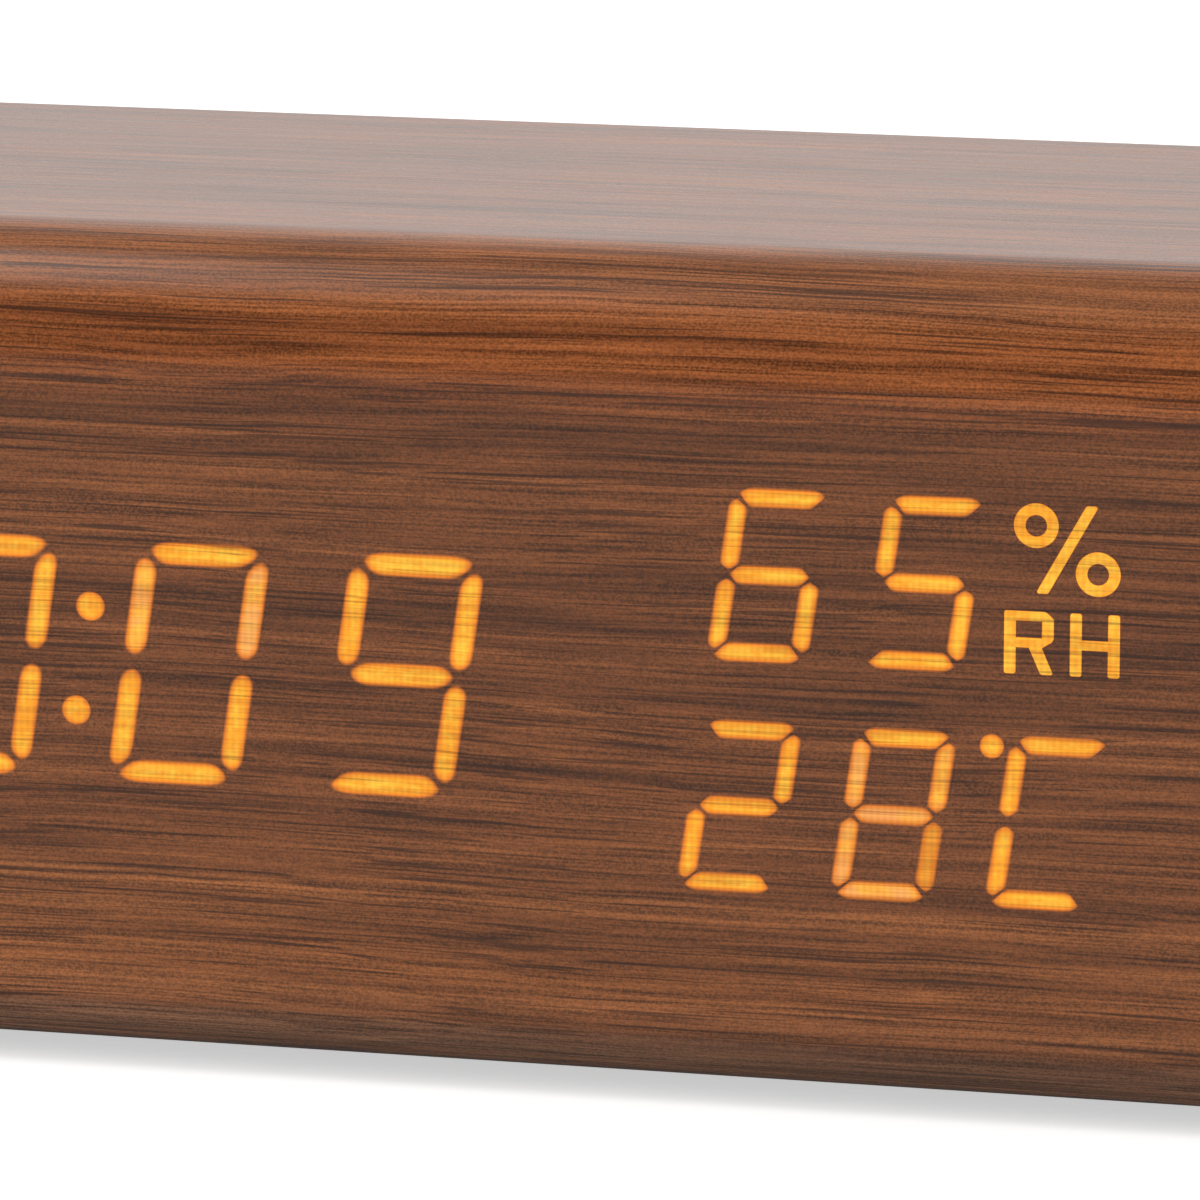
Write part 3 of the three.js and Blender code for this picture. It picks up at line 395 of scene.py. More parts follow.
@dataclass(frozen=True)
class WalnutFinish:
    """Printed walnut film under a satin coat. Its grain runs along one axis of the clock.

    The tones are picked by the bands and the stripes on top of painted light and shade by height, the painted
    light levels. The painted light tints add a painted reflection and painted shade at each height. Both run
    from the clock's underside to its top.
    """

    name: str = "walnut_film"
    along: Along = Along.WIDTH
    tones: Stops = ((0.36, (0.085, 0.026, 0.008)), (0.50, (0.200, 0.062, 0.017)),
                    (0.64, (0.320, 0.104, 0.029)))
    tall: float = 69.0
    # Painted light and shade by height: darker just below the top rounded edge, lighter on that edge where a
    # sheen would fall, and lighter over the lower front.
    painted_light_levels: tuple = ((0.0, 0.221), (0.12, 0.253), (0.22, 0.237), (0.36, 0.217), (0.70, 0.201), (0.80, 0.173),
                      (0.84, 0.197), (0.875, 0.261), (0.92, 0.257), (1.0, 0.245))
    # Painted reflection and shade by height: dark at the very bottom edge and underside, greyish blue on the
    # bottom rounded edge as a painted reflection of the pale floor, and warmer on the top rounded edge.
    painted_light_tints: Stops = ((0.0, (0.10, 0.09, 0.08)), (0.026, (0.15, 0.14, 0.15)), (0.036, (0.34, 0.44, 0.68)),
                       (0.050, (0.40, 0.58, 1.0)), (0.078, (0.43, 0.58, 1.0)), (0.090, (0.52, 0.56, 0.66)),
                       (0.138, (0.57, 0.58, 0.57)), (0.20, (0.54, 0.55, 0.54)), (0.32, (0.5, 0.5, 0.5)),
                       (0.80, (0.5, 0.5, 0.5)), (0.865, (0.56, 0.48, 0.38)), (0.91, (0.56, 0.48, 0.38)),
                       (0.96, (0.5, 0.5, 0.5)))
    painted_light_tint_scale: Colour = (2.0, 2.0, 2.0)
    wave: Grain = Grain((0.014, 0.035, 0.035), 1, weight=2.6)
    ripple: Grain = Grain((0.085, 0.3, 0.3), 1, moved=31, weight=0.34)
    bands: Grain = Grain((0.007, 0.20, 0.20), weight=0.30)
    stripes: Grain = Grain((0.020, 1.1, 1.1), 1, moved=11, weight=0.30)
    fibres: Grain = Grain((0.034, 3.0, 3.0), 1, 0.6, 23, (0.30, 0.70), 0.60)
    threads: Grain = Grain((0.070, 6.4, 6.4), 0, 0.5, 29, (0.34, 0.66), 0.40)
    speckle: Grain = Grain((4.6, 5.6, 5.6), 0, 0.5, 5, (0.30, 0.70), 0.52)
    fine_weight: float = 0.86
    least_tint: float = 0.40
    streaks: Grain = Grain((0.040, 4.0, 4.0), 1, moved=41)
    crowd: Grain = Grain((0.014, 0.30, 0.30), moved=63, ends=(0.36, 0.62), weight=0.11)
    pores_below: float = 0.375
    pore_width: float = 0.12
    vein: Colour = (0.033, 0.011, 0.005)
    vein_share: float = 0.66
    fine_height: float = 0.25
    pore_height: float = -0.4
    relief: tuple = (0.03, 0.35)
    roughness: tuple = (0.25, 0.30)
    ior: float = 1.48

    def pattern(self, sheet: NodeSheet) -> tuple[Socket, Socket, Socket]:
        """The grain's colour with painted light and shade by height, its fibres and its pores.

        Args:
            sheet: The material's nodes.

        Returns:
            The colour, the fibres as 0 where darkest and 1 where lightest, and the pores as 1 where deepest.
        """
        place = sheet.place(self.along.value)
        centred = -(self.wave.weight + self.ripple.weight) / 2
        sway = sheet.grains(place, self.ripple, self.wave, start=centred)
        shift = sheet.add("ShaderNodeCombineXYZ", {1: sway, 2: sway}).outputs[0]
        bent = sheet.add("ShaderNodeVectorMath", {0: place, 1: shift}, operation="ADD").outputs[0]
        level = {"Value": sheet.axes(place)[2], "From Max": self.tall}
        broad = sheet.add("ShaderNodeMapRange", level).outputs[0]
        # Painted light and shade by height, under the grain's tones.
        painted_levels = sheet.ramp(broad, tuple((spot, (grey,) * 3) for spot, grey in self.painted_light_levels))
        tone = sheet.grains(bent, self.stripes, self.bands, start=painted_levels)
        # Painted reflection and shade tints by height, doubled around a neutral grey of 0.5.
        painted_tinting = sheet.times(sheet.ramp(broad, self.painted_light_tints), self.painted_light_tint_scale)
        colour = sheet.times(sheet.ramp(tone, self.tones), painted_tinting)
        fine = sheet.grains(bent, self.threads, self.fibres)
        speckle = sheet.grains(place, self.speckle, start=self.least_tint)
        colour = sheet.tinted(colour, sheet.weighed((fine, self.fine_weight), start=speckle))
        reach = sheet.grains(bent, self.crowd, start=self.pores_below)
        start = sheet.calc("SUBTRACT", reach, self.pore_width)
        pores = sheet.span(sheet.grain(bent, self.streaks), start, reach, 1, 0)
        colour = sheet.blend(sheet.calc("MULTIPLY", pores, self.vein_share), colour, self.vein)
        return colour, fine, pores

    def dress(self, sheet: NodeSheet, fine: Socket, pores: Socket) -> None:
        """Sets the coat's gloss and relief.

        Args:
            sheet: The material's nodes.
            fine: The grain's fibres.
            pores: Where its pores are.
        """
        height = sheet.weighed((pores, self.pore_height), (fine, self.fine_height))
        sheet.relief(height, *self.relief)
        sheet.shade(Roughness=sheet.span(fine, 0, 1, *self.roughness), IOR=self.ior)

    def material(self) -> bpy.types.Material:
        """The finish as a material."""
        sheet = NodeSheet(self.name)
        colour, fine, pores = self.pattern(sheet)
        sheet.shade(Base_Color=colour)
        self.dress(sheet, fine, pores)
        return sheet.material


@dataclass(frozen=True)
class GlowFinish:
    """The same film where light shines through it, from how deep a point lies inside each side of a bar.

    The ends of each change are depths in millimetres, some followed by what the change gives at them.
    """

    wood: WalnutFinish
    name: str = "lit_walnut_film"
    rim: Colour = (0.80, 0.20, 0.010)
    amber: Colour = (0.98, 0.35, 0.012)
    core: Colour = (1.0, 0.53, 0.040)
    blush: Colour = (0.90, 0.35, 0.11)
    behind: Colour = (0.02, 0.008, 0.003)
    cloud: Grain = Grain((0.22, 0.22, 0.22), moved=7, weight=0.55)
    fleck: Grain = Grain((1.1, 1.1, 1.6), rough=0.6, moved=9, weight=0.45)
    patches: Grain = Grain((0.45, 0.45, 0.6), 1, moved=17, ends=(0.36, 0.62, 0.25, 0.72))
    core_contrast: tuple = (0.38, 0.62)
    core_ends: tuple = (0.15, 0.7, 0.35, 1.0)
    rim_ends: tuple = (0.0, 0.48)
    light_ends: tuple = (-0.14, 0.17)
    dim_share: float = -0.55
    mesh_turn: float = 11.5
    mesh_weight: float = 0.055
    dim_weight: float = 0.15
    pore_weight: float = -0.30
    fine_weight: float = 0.42
    least_tint: float = 0.78

    def depth(self, sheet: NodeSheet) -> Socket:
        """The least of the side depths, its corners rounded.

        Args:
            sheet: The material's nodes.

        Returns:
            The depth in millimetres.
        """
        least, *others = (side for name in ("sides_a", "sides_b")
                          for side in sheet.axes(sheet.attribute(name, "Vector")))
        rounding = sheet.attribute("rounding")
        for side in others:
            least = sheet.calc("SMOOTH_MIN", least, side, rounding)
        return least

    def light(self, sheet: NodeSheet, depth: Socket, blush: Socket) -> Socket:
        """The light's colour: a bright core in a redder rim, with blushing and dim spots.

        Args:
            sheet: The material's nodes.
            depth: How deep a point lies inside its bar.
            blush: How much it blushes, or how dim it is where that is below 0.

        Returns:
            The colour's socket.
        """
        place = sheet.place()
        bright = sheet.span(sheet.grains(place, self.cloud, self.fleck), *self.core_contrast)
        bright = sheet.calc("MULTIPLY", bright, sheet.span(depth, *self.core_ends))
        light = sheet.blend(bright, self.amber, self.core)
        patches = sheet.grain(place, self.patches)
        light = sheet.blend(sheet.calc("MULTIPLY", blush, patches, clamp=True), light, self.blush)
        light = sheet.blend(sheet.calc("MULTIPLY", blush, self.dim_share, clamp=True), light, self.rim)
        return sheet.blend(sheet.span(depth, *self.rim_ends), self.rim, light)

    def material(self) -> bpy.types.Material:
        """The finish as a material."""
        sheet = NodeSheet(self.name)
        colour, fine, pores = self.wood.pattern(sheet)
        depth = self.depth(sheet)
        blush = sheet.attribute("blush")
        light = self.light(sheet, depth, blush)
        across = sheet.axes(sheet.place())[0]
        mesh = sheet.calc("SINE", sheet.calc("MULTIPLY", across, self.mesh_turn))
        mesh = sheet.weighed((mesh, self.mesh_weight), start=1.0)
        dimmed = sheet.calc("MINIMUM", blush, 0.0)
        lines = sheet.weighed((dimmed, self.dim_weight), (pores, self.pore_weight), (fine, self.fine_weight),
                              start=self.least_tint)
        light = sheet.tinted(light, sheet.calc("MULTIPLY", mesh, lines))
        shown = sheet.span(depth, *self.light_ends)
        sheet.shade(Base_Color=sheet.blend(shown, colour, self.behind))
        sheet.shade(Emission_Color=light, Emission_Strength=shown)
        self.wood.dress(sheet, fine, pores)
        return sheet.material


@dataclass(frozen=True)
class MouldedFinish:
    """Moulded plastic or rubber with a fine spark-eroded texture."""

    name: str
    colour: Colour
    roughness: float = 0.5
    grain: float = 6.0
    octaves: int = 3
    grain_rough: float = 0.6
    depth: float = 0.02
    specular: float = 0.5
    strength: float = 0.5
    cloud: Grain = Grain((0.12,) * 3, moved=3)
    cloud_tint: tuple = (0.88, 1.08)
    fine_tint: tuple = (-0.05, 0.05)
    gloss_reach: float = 0.06

    def material(self) -> bpy.types.Material:
        """The finish as a material."""
        sheet = NodeSheet(self.name)
        place = sheet.place()
        fine = sheet.grain(place, Grain((self.grain,) * 3, self.octaves, self.grain_rough))
        wide = sheet.grain(place, self.cloud)
        tint = sheet.calc("ADD", sheet.vary(wide, self.cloud_tint), sheet.vary(fine, self.fine_tint))
        gloss = (self.roughness - self.gloss_reach, self.roughness + self.gloss_reach)
        sheet.shade(Base_Color=sheet.tinted(self.colour, tint), Roughness=sheet.vary(fine, gloss))
        sheet.shade(Specular_IOR_Level=self.specular)
        sheet.relief(fine, self.depth, self.strength)
        return sheet.material


@dataclass(frozen=True)
class BoardFinish:
    """Pressed fibre board with short pale and dark fibres."""

    name: str = "pressed_board"
    tones: Stops = ((0.36, (0.28, 0.155, 0.066)), (0.5, (0.42, 0.25, 0.11)), (0.64, (0.52, 0.33, 0.16)))
    fibres: Grain = Grain((1.1, 2.4, 2.4), 4, 0.65, weight=0.5)
    fluff: Grain = Grain((3.0, 1.2, 4.0), 3, 0.6, 17, weight=0.5)
    roughness: tuple = (0.78, 0.92)
    relief: tuple = (0.08, 0.5)

    def material(self) -> bpy.types.Material:
        """The finish as a material."""
        sheet = NodeSheet(self.name)
        mixed = sheet.grains(sheet.place(), self.fibres, self.fluff)
        sheet.shade(Base_Color=sheet.ramp(mixed, self.tones), Roughness=sheet.vary(mixed, self.roughness))
        sheet.relief(mixed, *self.relief)
        return sheet.material


@dataclass(frozen=True)
class MetalFinish:
    """Plated or drawn metal, brushed along one axis."""

    name: str
    colour: Colour
    roughness: float = 0.3
    brushed: tuple = (0.3, 7.0, 7.0)
    octaves: int = 3
    grain_rough: float = 0.6
    smudge: Grain = Grain((0.35,) * 3, moved=13)
    tint_ends: tuple = (0.7, 1.3, 0.92, 1.04)
    smoother: float = 0.03
    rougher: float = 0.05
    relief: tuple = (0.004, 0.25)

    def material(self) -> bpy.types.Material:
        """The finish as a material."""
        sheet = NodeSheet(self.name)
        place = sheet.place()
        lines = sheet.grain(place, Grain(self.brushed, self.octaves, self.grain_rough))
        smudged = sheet.calc("ADD", lines, sheet.grain(place, self.smudge))
        tint = sheet.span(smudged, *self.tint_ends)
        gloss = (self.roughness - self.smoother, self.roughness + self.rougher)
        sheet.shade(Base_Color=sheet.tinted(self.colour, tint), Metallic=1.0)
        sheet.shade(Roughness=sheet.vary(lines, gloss))
        sheet.relief(lines, *self.relief)
        return sheet.material


@dataclass(frozen=True)
class CircuitFinish:
    """Green solder mask over copper tracks, with bare pads."""

    name: str = "solder_mask"
    mask: Colour = (0.007, 0.058, 0.028)
    track: Colour = (0.014, 0.105, 0.050)
    pad: Colour = (0.62, 0.55, 0.38)
    per_mm: tuple = (0.42, 0.0, 0.42)
    track_randomness: float = 0.75
    tracks_per_cell: float = 3.2
    track_ends: tuple = (0.22, 0.28, 1, 0)
    pads_per_cell: float = 1.35
    pad_randomness: float = 0.3
    pad_ends: tuple = (0.12, 0.15, 1, 0)
    pad_metal: float = 0.9
    roughness: tuple = (0.38, 0.3)
    relief: tuple = (0.03, 0.6)

    def material(self) -> bpy.types.Material:
        """The finish as a material."""
        sheet = NodeSheet(self.name)
        flat = sheet.stretch(sheet.place(), self.per_mm)
        cells = {"Vector": flat, "Scale": 1, "Randomness": self.track_randomness}
        routes = sheet.add("ShaderNodeTexVoronoi", cells, feature="F1", distance="CHEBYCHEV")
        rings = sheet.calc("MULTIPLY", routes.outputs["Distance"], self.tracks_per_cell)
        tracks = sheet.span(sheet.folded(rings), *self.track_ends)
        cells.update({"Scale": self.pads_per_cell, "Randomness": self.pad_randomness})
        dots = sheet.add("ShaderNodeTexVoronoi", cells, feature="F1")
        pads = sheet.span(dots.outputs["Distance"], *self.pad_ends)
        sheet.shade(Base_Color=sheet.blend(pads, sheet.blend(tracks, self.mask, self.track), self.pad))
        sheet.shade(Metallic=sheet.calc("MULTIPLY", pads, self.pad_metal))
        sheet.shade(Roughness=sheet.span(tracks, 0, 1, *self.roughness))
        sheet.relief(tracks, *self.relief)
        return sheet.material


@dataclass(frozen=True)
class FlexFinish:
    """Amber polyimide ribbon over parallel copper tracks."""

    name: str = "ribbon_film"
    film: Colour = (0.42, 0.145, 0.012)
    track: Colour = (0.60, 0.27, 0.05)
    pitch: float = 1.0
    track_ends: tuple = (0.2, 0.27, 1, 0)
    cloud: Grain = Grain((0.5,) * 3)
    tint: tuple = (0.85, 1.1)
    roughness: tuple = (0.22, 0.34)
    relief: tuple = (0.03, 0.5)

    def material(self) -> bpy.types.Material:
        """The finish as a material."""
        sheet = NodeSheet(self.name)
        place = sheet.place()
        pitches = sheet.calc("DIVIDE", sheet.axes(place)[0], self.pitch)
        tracks = sheet.span(sheet.folded(pitches), *self.track_ends)
        cloud = sheet.grain(place, self.cloud)
        colour = sheet.tinted(sheet.blend(tracks, self.film, self.track), sheet.vary(cloud, self.tint))
        sheet.shade(Base_Color=colour, Roughness=sheet.vary(cloud, self.roughness))
        sheet.relief(tracks, *self.relief)
        return sheet.material


@dataclass(frozen=True)
class GuideFinish:
    """Milky amber-lit acrylic."""

    name: str = "milky_light_guide"
    body: Colour = (0.93, 0.47, 0.13)
    glow: Colour = (1.0, 0.42, 0.05)
    cloud: Grain = Grain((0.4,) * 3, 3)
    tint: tuple = (0.82, 1.06)
    roughness: tuple = (0.2, 0.3)
    glow_strength: tuple = (0.12, 0.24)
    milkiness: float = 0.25
    scattering: tuple = (0.002, 0.001, 0.0005)

    def material(self) -> bpy.types.Material:
        """The finish as a material."""
        sheet = NodeSheet(self.name)
        cloud = sheet.grain(sheet.place(), self.cloud)
        sheet.shade(Base_Color=sheet.tinted(self.body, sheet.vary(cloud, self.tint)))
        sheet.shade(Roughness=sheet.vary(cloud, self.roughness), Emission_Color=(*self.glow, 1))
        sheet.shade(Emission_Strength=sheet.vary(cloud, self.glow_strength))
        sheet.shade(Subsurface_Weight=self.milkiness, Subsurface_Radius=self.scattering)
        return sheet.material


class Workpiece:
    """A mesh being shaped with bmesh operators, in metres and in the clock's own frame."""

    flat_turn: float = math.radians(0.4)

    def __init__(self) -> None:
        """Starts an empty mesh."""
        self.mesh = bmesh.new()

    @classmethod
    def copied(cls, node: str) -> "Workpiece":
        """A CAD node's shape, with its loose triangles joined into flats.

        Args:
            node: The node's name.

        Returns:
            The copy.
        """
        work = cls()
        work.mesh.from_mesh(frame["nodes"][node].data)
        work.weld()
        bmesh.ops.dissolve_limit(work.mesh, angle_limit=cls.flat_turn, verts=work.mesh.verts,
                                 edges=work.mesh.edges)
        return work

    @classmethod
    def turned(cls, profile: Iterable[tuple[float, float]], centre: Vector, steps: int,
               toward: Vector = BACKWARD) -> "Workpiece":
        """A solid of revolution.

        Args:
            profile: Radius and height of each point, in millimetres, from the axis to the axis.
            centre: Where the axis starts.
            steps: Faces round it.
            toward: Which way the heights go.

        Returns:
            The solid.
        """
        work = cls()
        turn = UPWARD.rotation_difference(toward).to_matrix()
        points = [work.mesh.verts.new(centre + turn @ mm(radius, 0, height)) for radius, height in profile]
        line = [work.mesh.edges.new(pair) for pair in zip(points, points[1:])]
        bmesh.ops.spin(work.mesh, geom=[*points, *line], cent=centre, axis=turn @ UPWARD, angle=math.tau,
                       steps=steps, use_merge=True)
        work.weld(2 * WELD)
        bmesh.ops.recalc_face_normals(work.mesh, faces=work.mesh.faces)
        return work

    def weld(self, reach: float = WELD) -> None:
        """Joins vertices that lie within reach of each other."""
        bmesh.ops.remove_doubles(self.mesh, verts=self.mesh.verts, dist=reach)

    def block(self, low: Vector, high: Vector) -> list[bmesh.types.BMVert]:
        """Adds a box.

        Args:
            low: Its lowest corner.
            high: Its highest corner.

        Returns:
            Its vertices.
        """
        matrix = Matrix.Translation(centre_of(low, high)) @ Matrix.Diagonal((*(high - low), 1))
        return bmesh.ops.create_cube(self.mesh, size=1, matrix=matrix)["verts"]

    def plate(self, outline: Iterable[Vector], thick: Vector) -> None:
        """Adds a flat plate.

        Args:
            outline: Its corners, in order.
            thick: How far and which way its face is drawn out.
        """
        self.thicken([self.mesh.faces.new([self.mesh.verts.new(corner) for corner in outline])], thick)

    def thicken(self, faces: list[bmesh.types.BMFace], thick: Vector) -> None:
        """Draws flat faces out into closed plates.

        Args:
            faces: The faces.
            thick: How far and which way.
        """
        near = {v for f in faces for v in f.verts}
        far = verts_of(bmesh.ops.extrude_face_region(self.mesh, geom=faces)["geom"])
        bmesh.ops.translate(self.mesh, vec=thick, verts=far)
        closed = list({f for v in (*near, *far) for f in v.link_faces})
        bmesh.ops.recalc_face_normals(self.mesh, faces=closed)

    def round_edges(self, edges: Iterable[bmesh.types.BMEdge], radius: float, steps: int = 2) -> None:
        """Rounds edges.

        Args:
            edges: The edges.
            radius: Their radius, in millimetres.
            steps: Faces round each.
        """
        bmesh.ops.bevel(self.mesh, geom=list(edges), offset=radius * MM, offset_type="OFFSET", segments=steps,
                        profile=0.5, affect="EDGES", material=-1, clamp_overlap=True)

    def sharp(self, test: Callable[[Vector], bool], degrees: float = 40) -> list[bmesh.types.BMEdge]:
        """Edges at which the surface turns sharply outwards.

        Args:
            test: Whether an edge may end at a place.
            degrees: The least turn.

        Returns:
            The edges.
        """
        turn = math.radians(degrees)
        return [e for e in self.mesh.edges if len(e.link_faces) == 2 and e.calc_face_angle_signed(0) > turn
                and all(test(v.co) for v in e.verts)]

    def finished(self, name: str, finish: bpy.types.Material, slot: Slot, body: Body = Body.CASE,
                 replaced: Iterable[str] = (), smooth: float = 35) -> bpy.types.Object:
        """Makes the shape a piece of the clock.

        Args:
            name: The piece's name.
            finish: Its material.
            slot: The record's slot; not used.
            body: The body that it rides on.
            replaced: The CAD nodes that it stands for.
            smooth: The turn at which an edge is shaded sharp, in degrees.

        Returns:
            The piece.
        """
        mesh = bpy.data.meshes.new(name)
        self.mesh.to_mesh(mesh)
        self.mesh.free()
        mesh.shade_smooth()
        mesh.set_sharp_from_angle(angle=math.radians(smooth))
        mesh.materials.append(finish)
        piece = bpy.data.objects.new(name, mesh)
        bpy.context.scene.collection.objects.link(piece)
        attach(piece, body.value)
        if replaced:
            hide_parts(*replaced)
        return piece


def evenly_shaded(piece: bpy.types.Object) -> bpy.types.Object:
    """Keeps a piece's flats flat beside their rounded edges, and hands it back."""
    piece.modifiers.new("even_shading", "WEIGHTED_NORMAL").keep_sharp = True
    return piece


@dataclass
class Wardrobe:
    """Every finish of the clock, made once."""

    wood: WalnutFinish = WalnutFinish()
    made: dict[str, bpy.types.Material] = field(default_factory=dict)

    def __post_init__(self) -> None:
        """Makes the materials."""
        finishes: tuple[Finish, ...] = (
            self.wood,
            WalnutFinish("walnut_end_film", Along.DEPTH),
            GlowFinish(self.wood),
            BoardFinish(),
            MouldedFinish("black_moulding", (0.012, 0.012, 0.013), roughness=0.52),
            MouldedFinish("key_plastic", (0.022, 0.022, 0.025), roughness=0.34, grain=3.0, depth=0.008),
            MouldedFinish("white_moulding", (0.75, 0.73, 0.67), roughness=0.42),
            MouldedFinish("foot_rubber", (0.016, 0.016, 0.018), roughness=0.78, grain=3.5, depth=0.05,
                          specular=0.3),
            MouldedFinish("chip_resin", (0.010, 0.010, 0.011), roughness=0.6, grain=9.0),
            MouldedFinish("ferrite_tile", (0.035, 0.031, 0.029), roughness=0.48, grain=5.0, depth=0.03),
            MouldedFinish("pale_print", (0.58, 0.58, 0.56), roughness=0.45, grain=8.0, depth=0.005),
            CircuitFinish(),
            FlexFinish(),
            GuideFinish(),
            MetalFinish("drawn_copper", (0.60, 0.23, 0.085), roughness=0.28, brushed=(0.5, 0.5, 6.0)),
            MetalFinish("plated_steel", (0.46, 0.46, 0.47)),
        )
        for finish in finishes:
            self.made[finish.name] = finish.material()

    def __getitem__(self, name: str) -> bpy.types.Material:
        """One material by its name."""
        return self.made[name]

    @property
    def by_slot(self) -> dict[str, bpy.types.Material]:
        """The material that a CAD node gets, by its slot."""
        names = {
            Slot.FILM: "walnut_film", Slot.BOARD: "pressed_board", Slot.BLACK: "black_moulding",
            Slot.KEY: "key_plastic", Slot.WHITE: "white_moulding", Slot.RUBBER: "foot_rubber",
            Slot.GUIDE: "milky_light_guide", Slot.CIRCUIT: "solder_mask", Slot.CHIP: "chip_resin",
            Slot.COPPER: "drawn_copper", Slot.FERRITE: "ferrite_tile", Slot.STEEL: "plated_steel",
            Slot.POLYIMIDE: "ribbon_film",
        }
        return {slot.value: self[name] for slot, name in names.items()}


@dataclass
class Casing:
    """The film wrapped round the block, the two end films and the feet.

    Sizes are in millimetres. A rounded edge has its radius and its number of faces. The sole's points have
    their distance from the foot's middle and their level, and the sole rim's their distance from its side.
    """

    film: float = 0.5
    top_edge: tuple = (10.6, 28)
    bottom_edge: tuple = (5.0, 16)
    rear_edge: tuple = (1.2, 6)
    opening_gap: float = 0.3
    opening_edge: tuple = (3.3, 8)
    end_edge: tuple = (0.14, 3)
    sole: tuple = ((0, 0.25), (1.6, 0.25), (1.9, 0), (3.2, 0), (3.35, 0.18), (3.75, 0.18), (3.9, 0))
    sole_rim: tuple = ((0.5, 0), (0.24, 0.05), (0.07, 0.2), (0, 0.45))
    foot_steps: int = 48

    def wrap(self, wardrobe: Wardrobe) -> bpy.types.Object:
        """Builds the film's wrap: a box with rounded long edges, open at its ends and round the rear cover.

        Args:
            wardrobe: The finishes.

        Returns:
            The piece.
        """
        low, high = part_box("wood_film")
        work = Workpiece()
        work.block(low, high)
        for depth, level, edge in ((low.y, high.z, self.top_edge), (low.y, low.z, self.bottom_edge),
                                   (high.y, high.z, self.rear_edge), (high.y, low.z, self.rear_edge)):
            line = Vector((depth, level))
            work.round_edges([e for e in work.mesh.edges
                              if all((v.co.yz - line).length < SLACK for v in e.verts)], *edge)
        ends = [f for f in work.mesh.faces if abs(f.normal.x) > FACING]
        bmesh.ops.delete(work.mesh, geom=ends, context="FACES")
        self.cut_opening(work)
        piece = work.finished("walnut_wrap", wardrobe["walnut_film"], Slot.FILM, replaced=["wood_film"])
        wall = piece.modifiers.new("film", "SOLIDIFY")
        wall.thickness = self.film * MM
        wall.offset = -1
        return evenly_shaded(piece)

    def cut_opening(self, work: Workpiece) -> None:
        """Cuts the opening round the rear cover.

        Args:
            work: The film's wrap.
        """
        low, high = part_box("rear_cover")
        gap = self.opening_gap * MM
        half_way = centre_of(low, high).z
        rear = max(work.mesh.faces, key=lambda f: f.calc_center_median().y)
        bmesh.ops.inset_region(work.mesh, faces=[rear], thickness=gap, use_boundary=True)
        for vert in rear.verts:
            vert.co.x = math.copysign(high.x + gap, vert.co.x)
            vert.co.z = high.z + gap if vert.co.z > half_way else low.z - gap
        radius, steps = self.opening_edge
        bmesh.ops.bevel(work.mesh, geom=list(rear.verts), offset=radius * MM, offset_type="OFFSET",
                        segments=steps, profile=0.5, affect="VERTICES", material=-1)
        inner = [f for f in work.mesh.faces if f.normal.y > FACING and abs(f.calc_center_median().x) < MM
                 and low.z < f.calc_center_median().z < high.z]
        hole = max(inner, key=lambda f: f.calc_area())
        bmesh.ops.delete(work.mesh, geom=[hole], context="FACES")

    def ends(self, wardrobe: Wardrobe) -> list[bpy.types.Object]:
        """Builds the end films with a fine rounded rim."""
        pieces = []
        for side, sign in (("left", -1), ("right", 1)):
            node = f"end_film_{side}"
            work = Workpiece.copied(node)
            face = max(v.co.x * sign for v in work.mesh.verts)
            work.round_edges(work.sharp(lambda co: co.x * sign > face - SLACK), *self.end_edge)
            piece = work.finished(f"walnut_end_{side}", wardrobe["walnut_end_film"], Slot.FILM,
                                  replaced=[node])
            pieces.append(evenly_shaded(piece))
        return pieces

    def feet(self, wardrobe: Wardrobe) -> list[bpy.types.Object]:
        """Builds the feet: pads with a rounded rim and a ring groove underneath."""
        pieces = []
        for name in ("front_left", "front_right", "rear_left", "rear_right"):
            low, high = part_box(f"foot_{name}")
            middle = centre_of(low, high)
            radius, height = (high.x - low.x) / 2 / MM, (high.z - low.z) / MM
            rim = ((radius - inset, level) for inset, level in self.sole_rim)
            work = Workpiece.turned((*self.sole, *rim, (radius, height), (0, height)),
                                    Vector((middle.x, middle.y, low.z)), self.foot_steps, UPWARD)
            pieces.append(work.finished(f"rubber_foot_{name}", wardrobe["foot_rubber"], Slot.RUBBER,
                                        replaced=[f"foot_{name}"]))
        return pieces

    def build(self, wardrobe: Wardrobe) -> list[bpy.types.Object]:
        """Builds every piece of the casing."""
        return [self.wrap(wardrobe), *self.ends(wardrobe), *self.feet(wardrobe)]


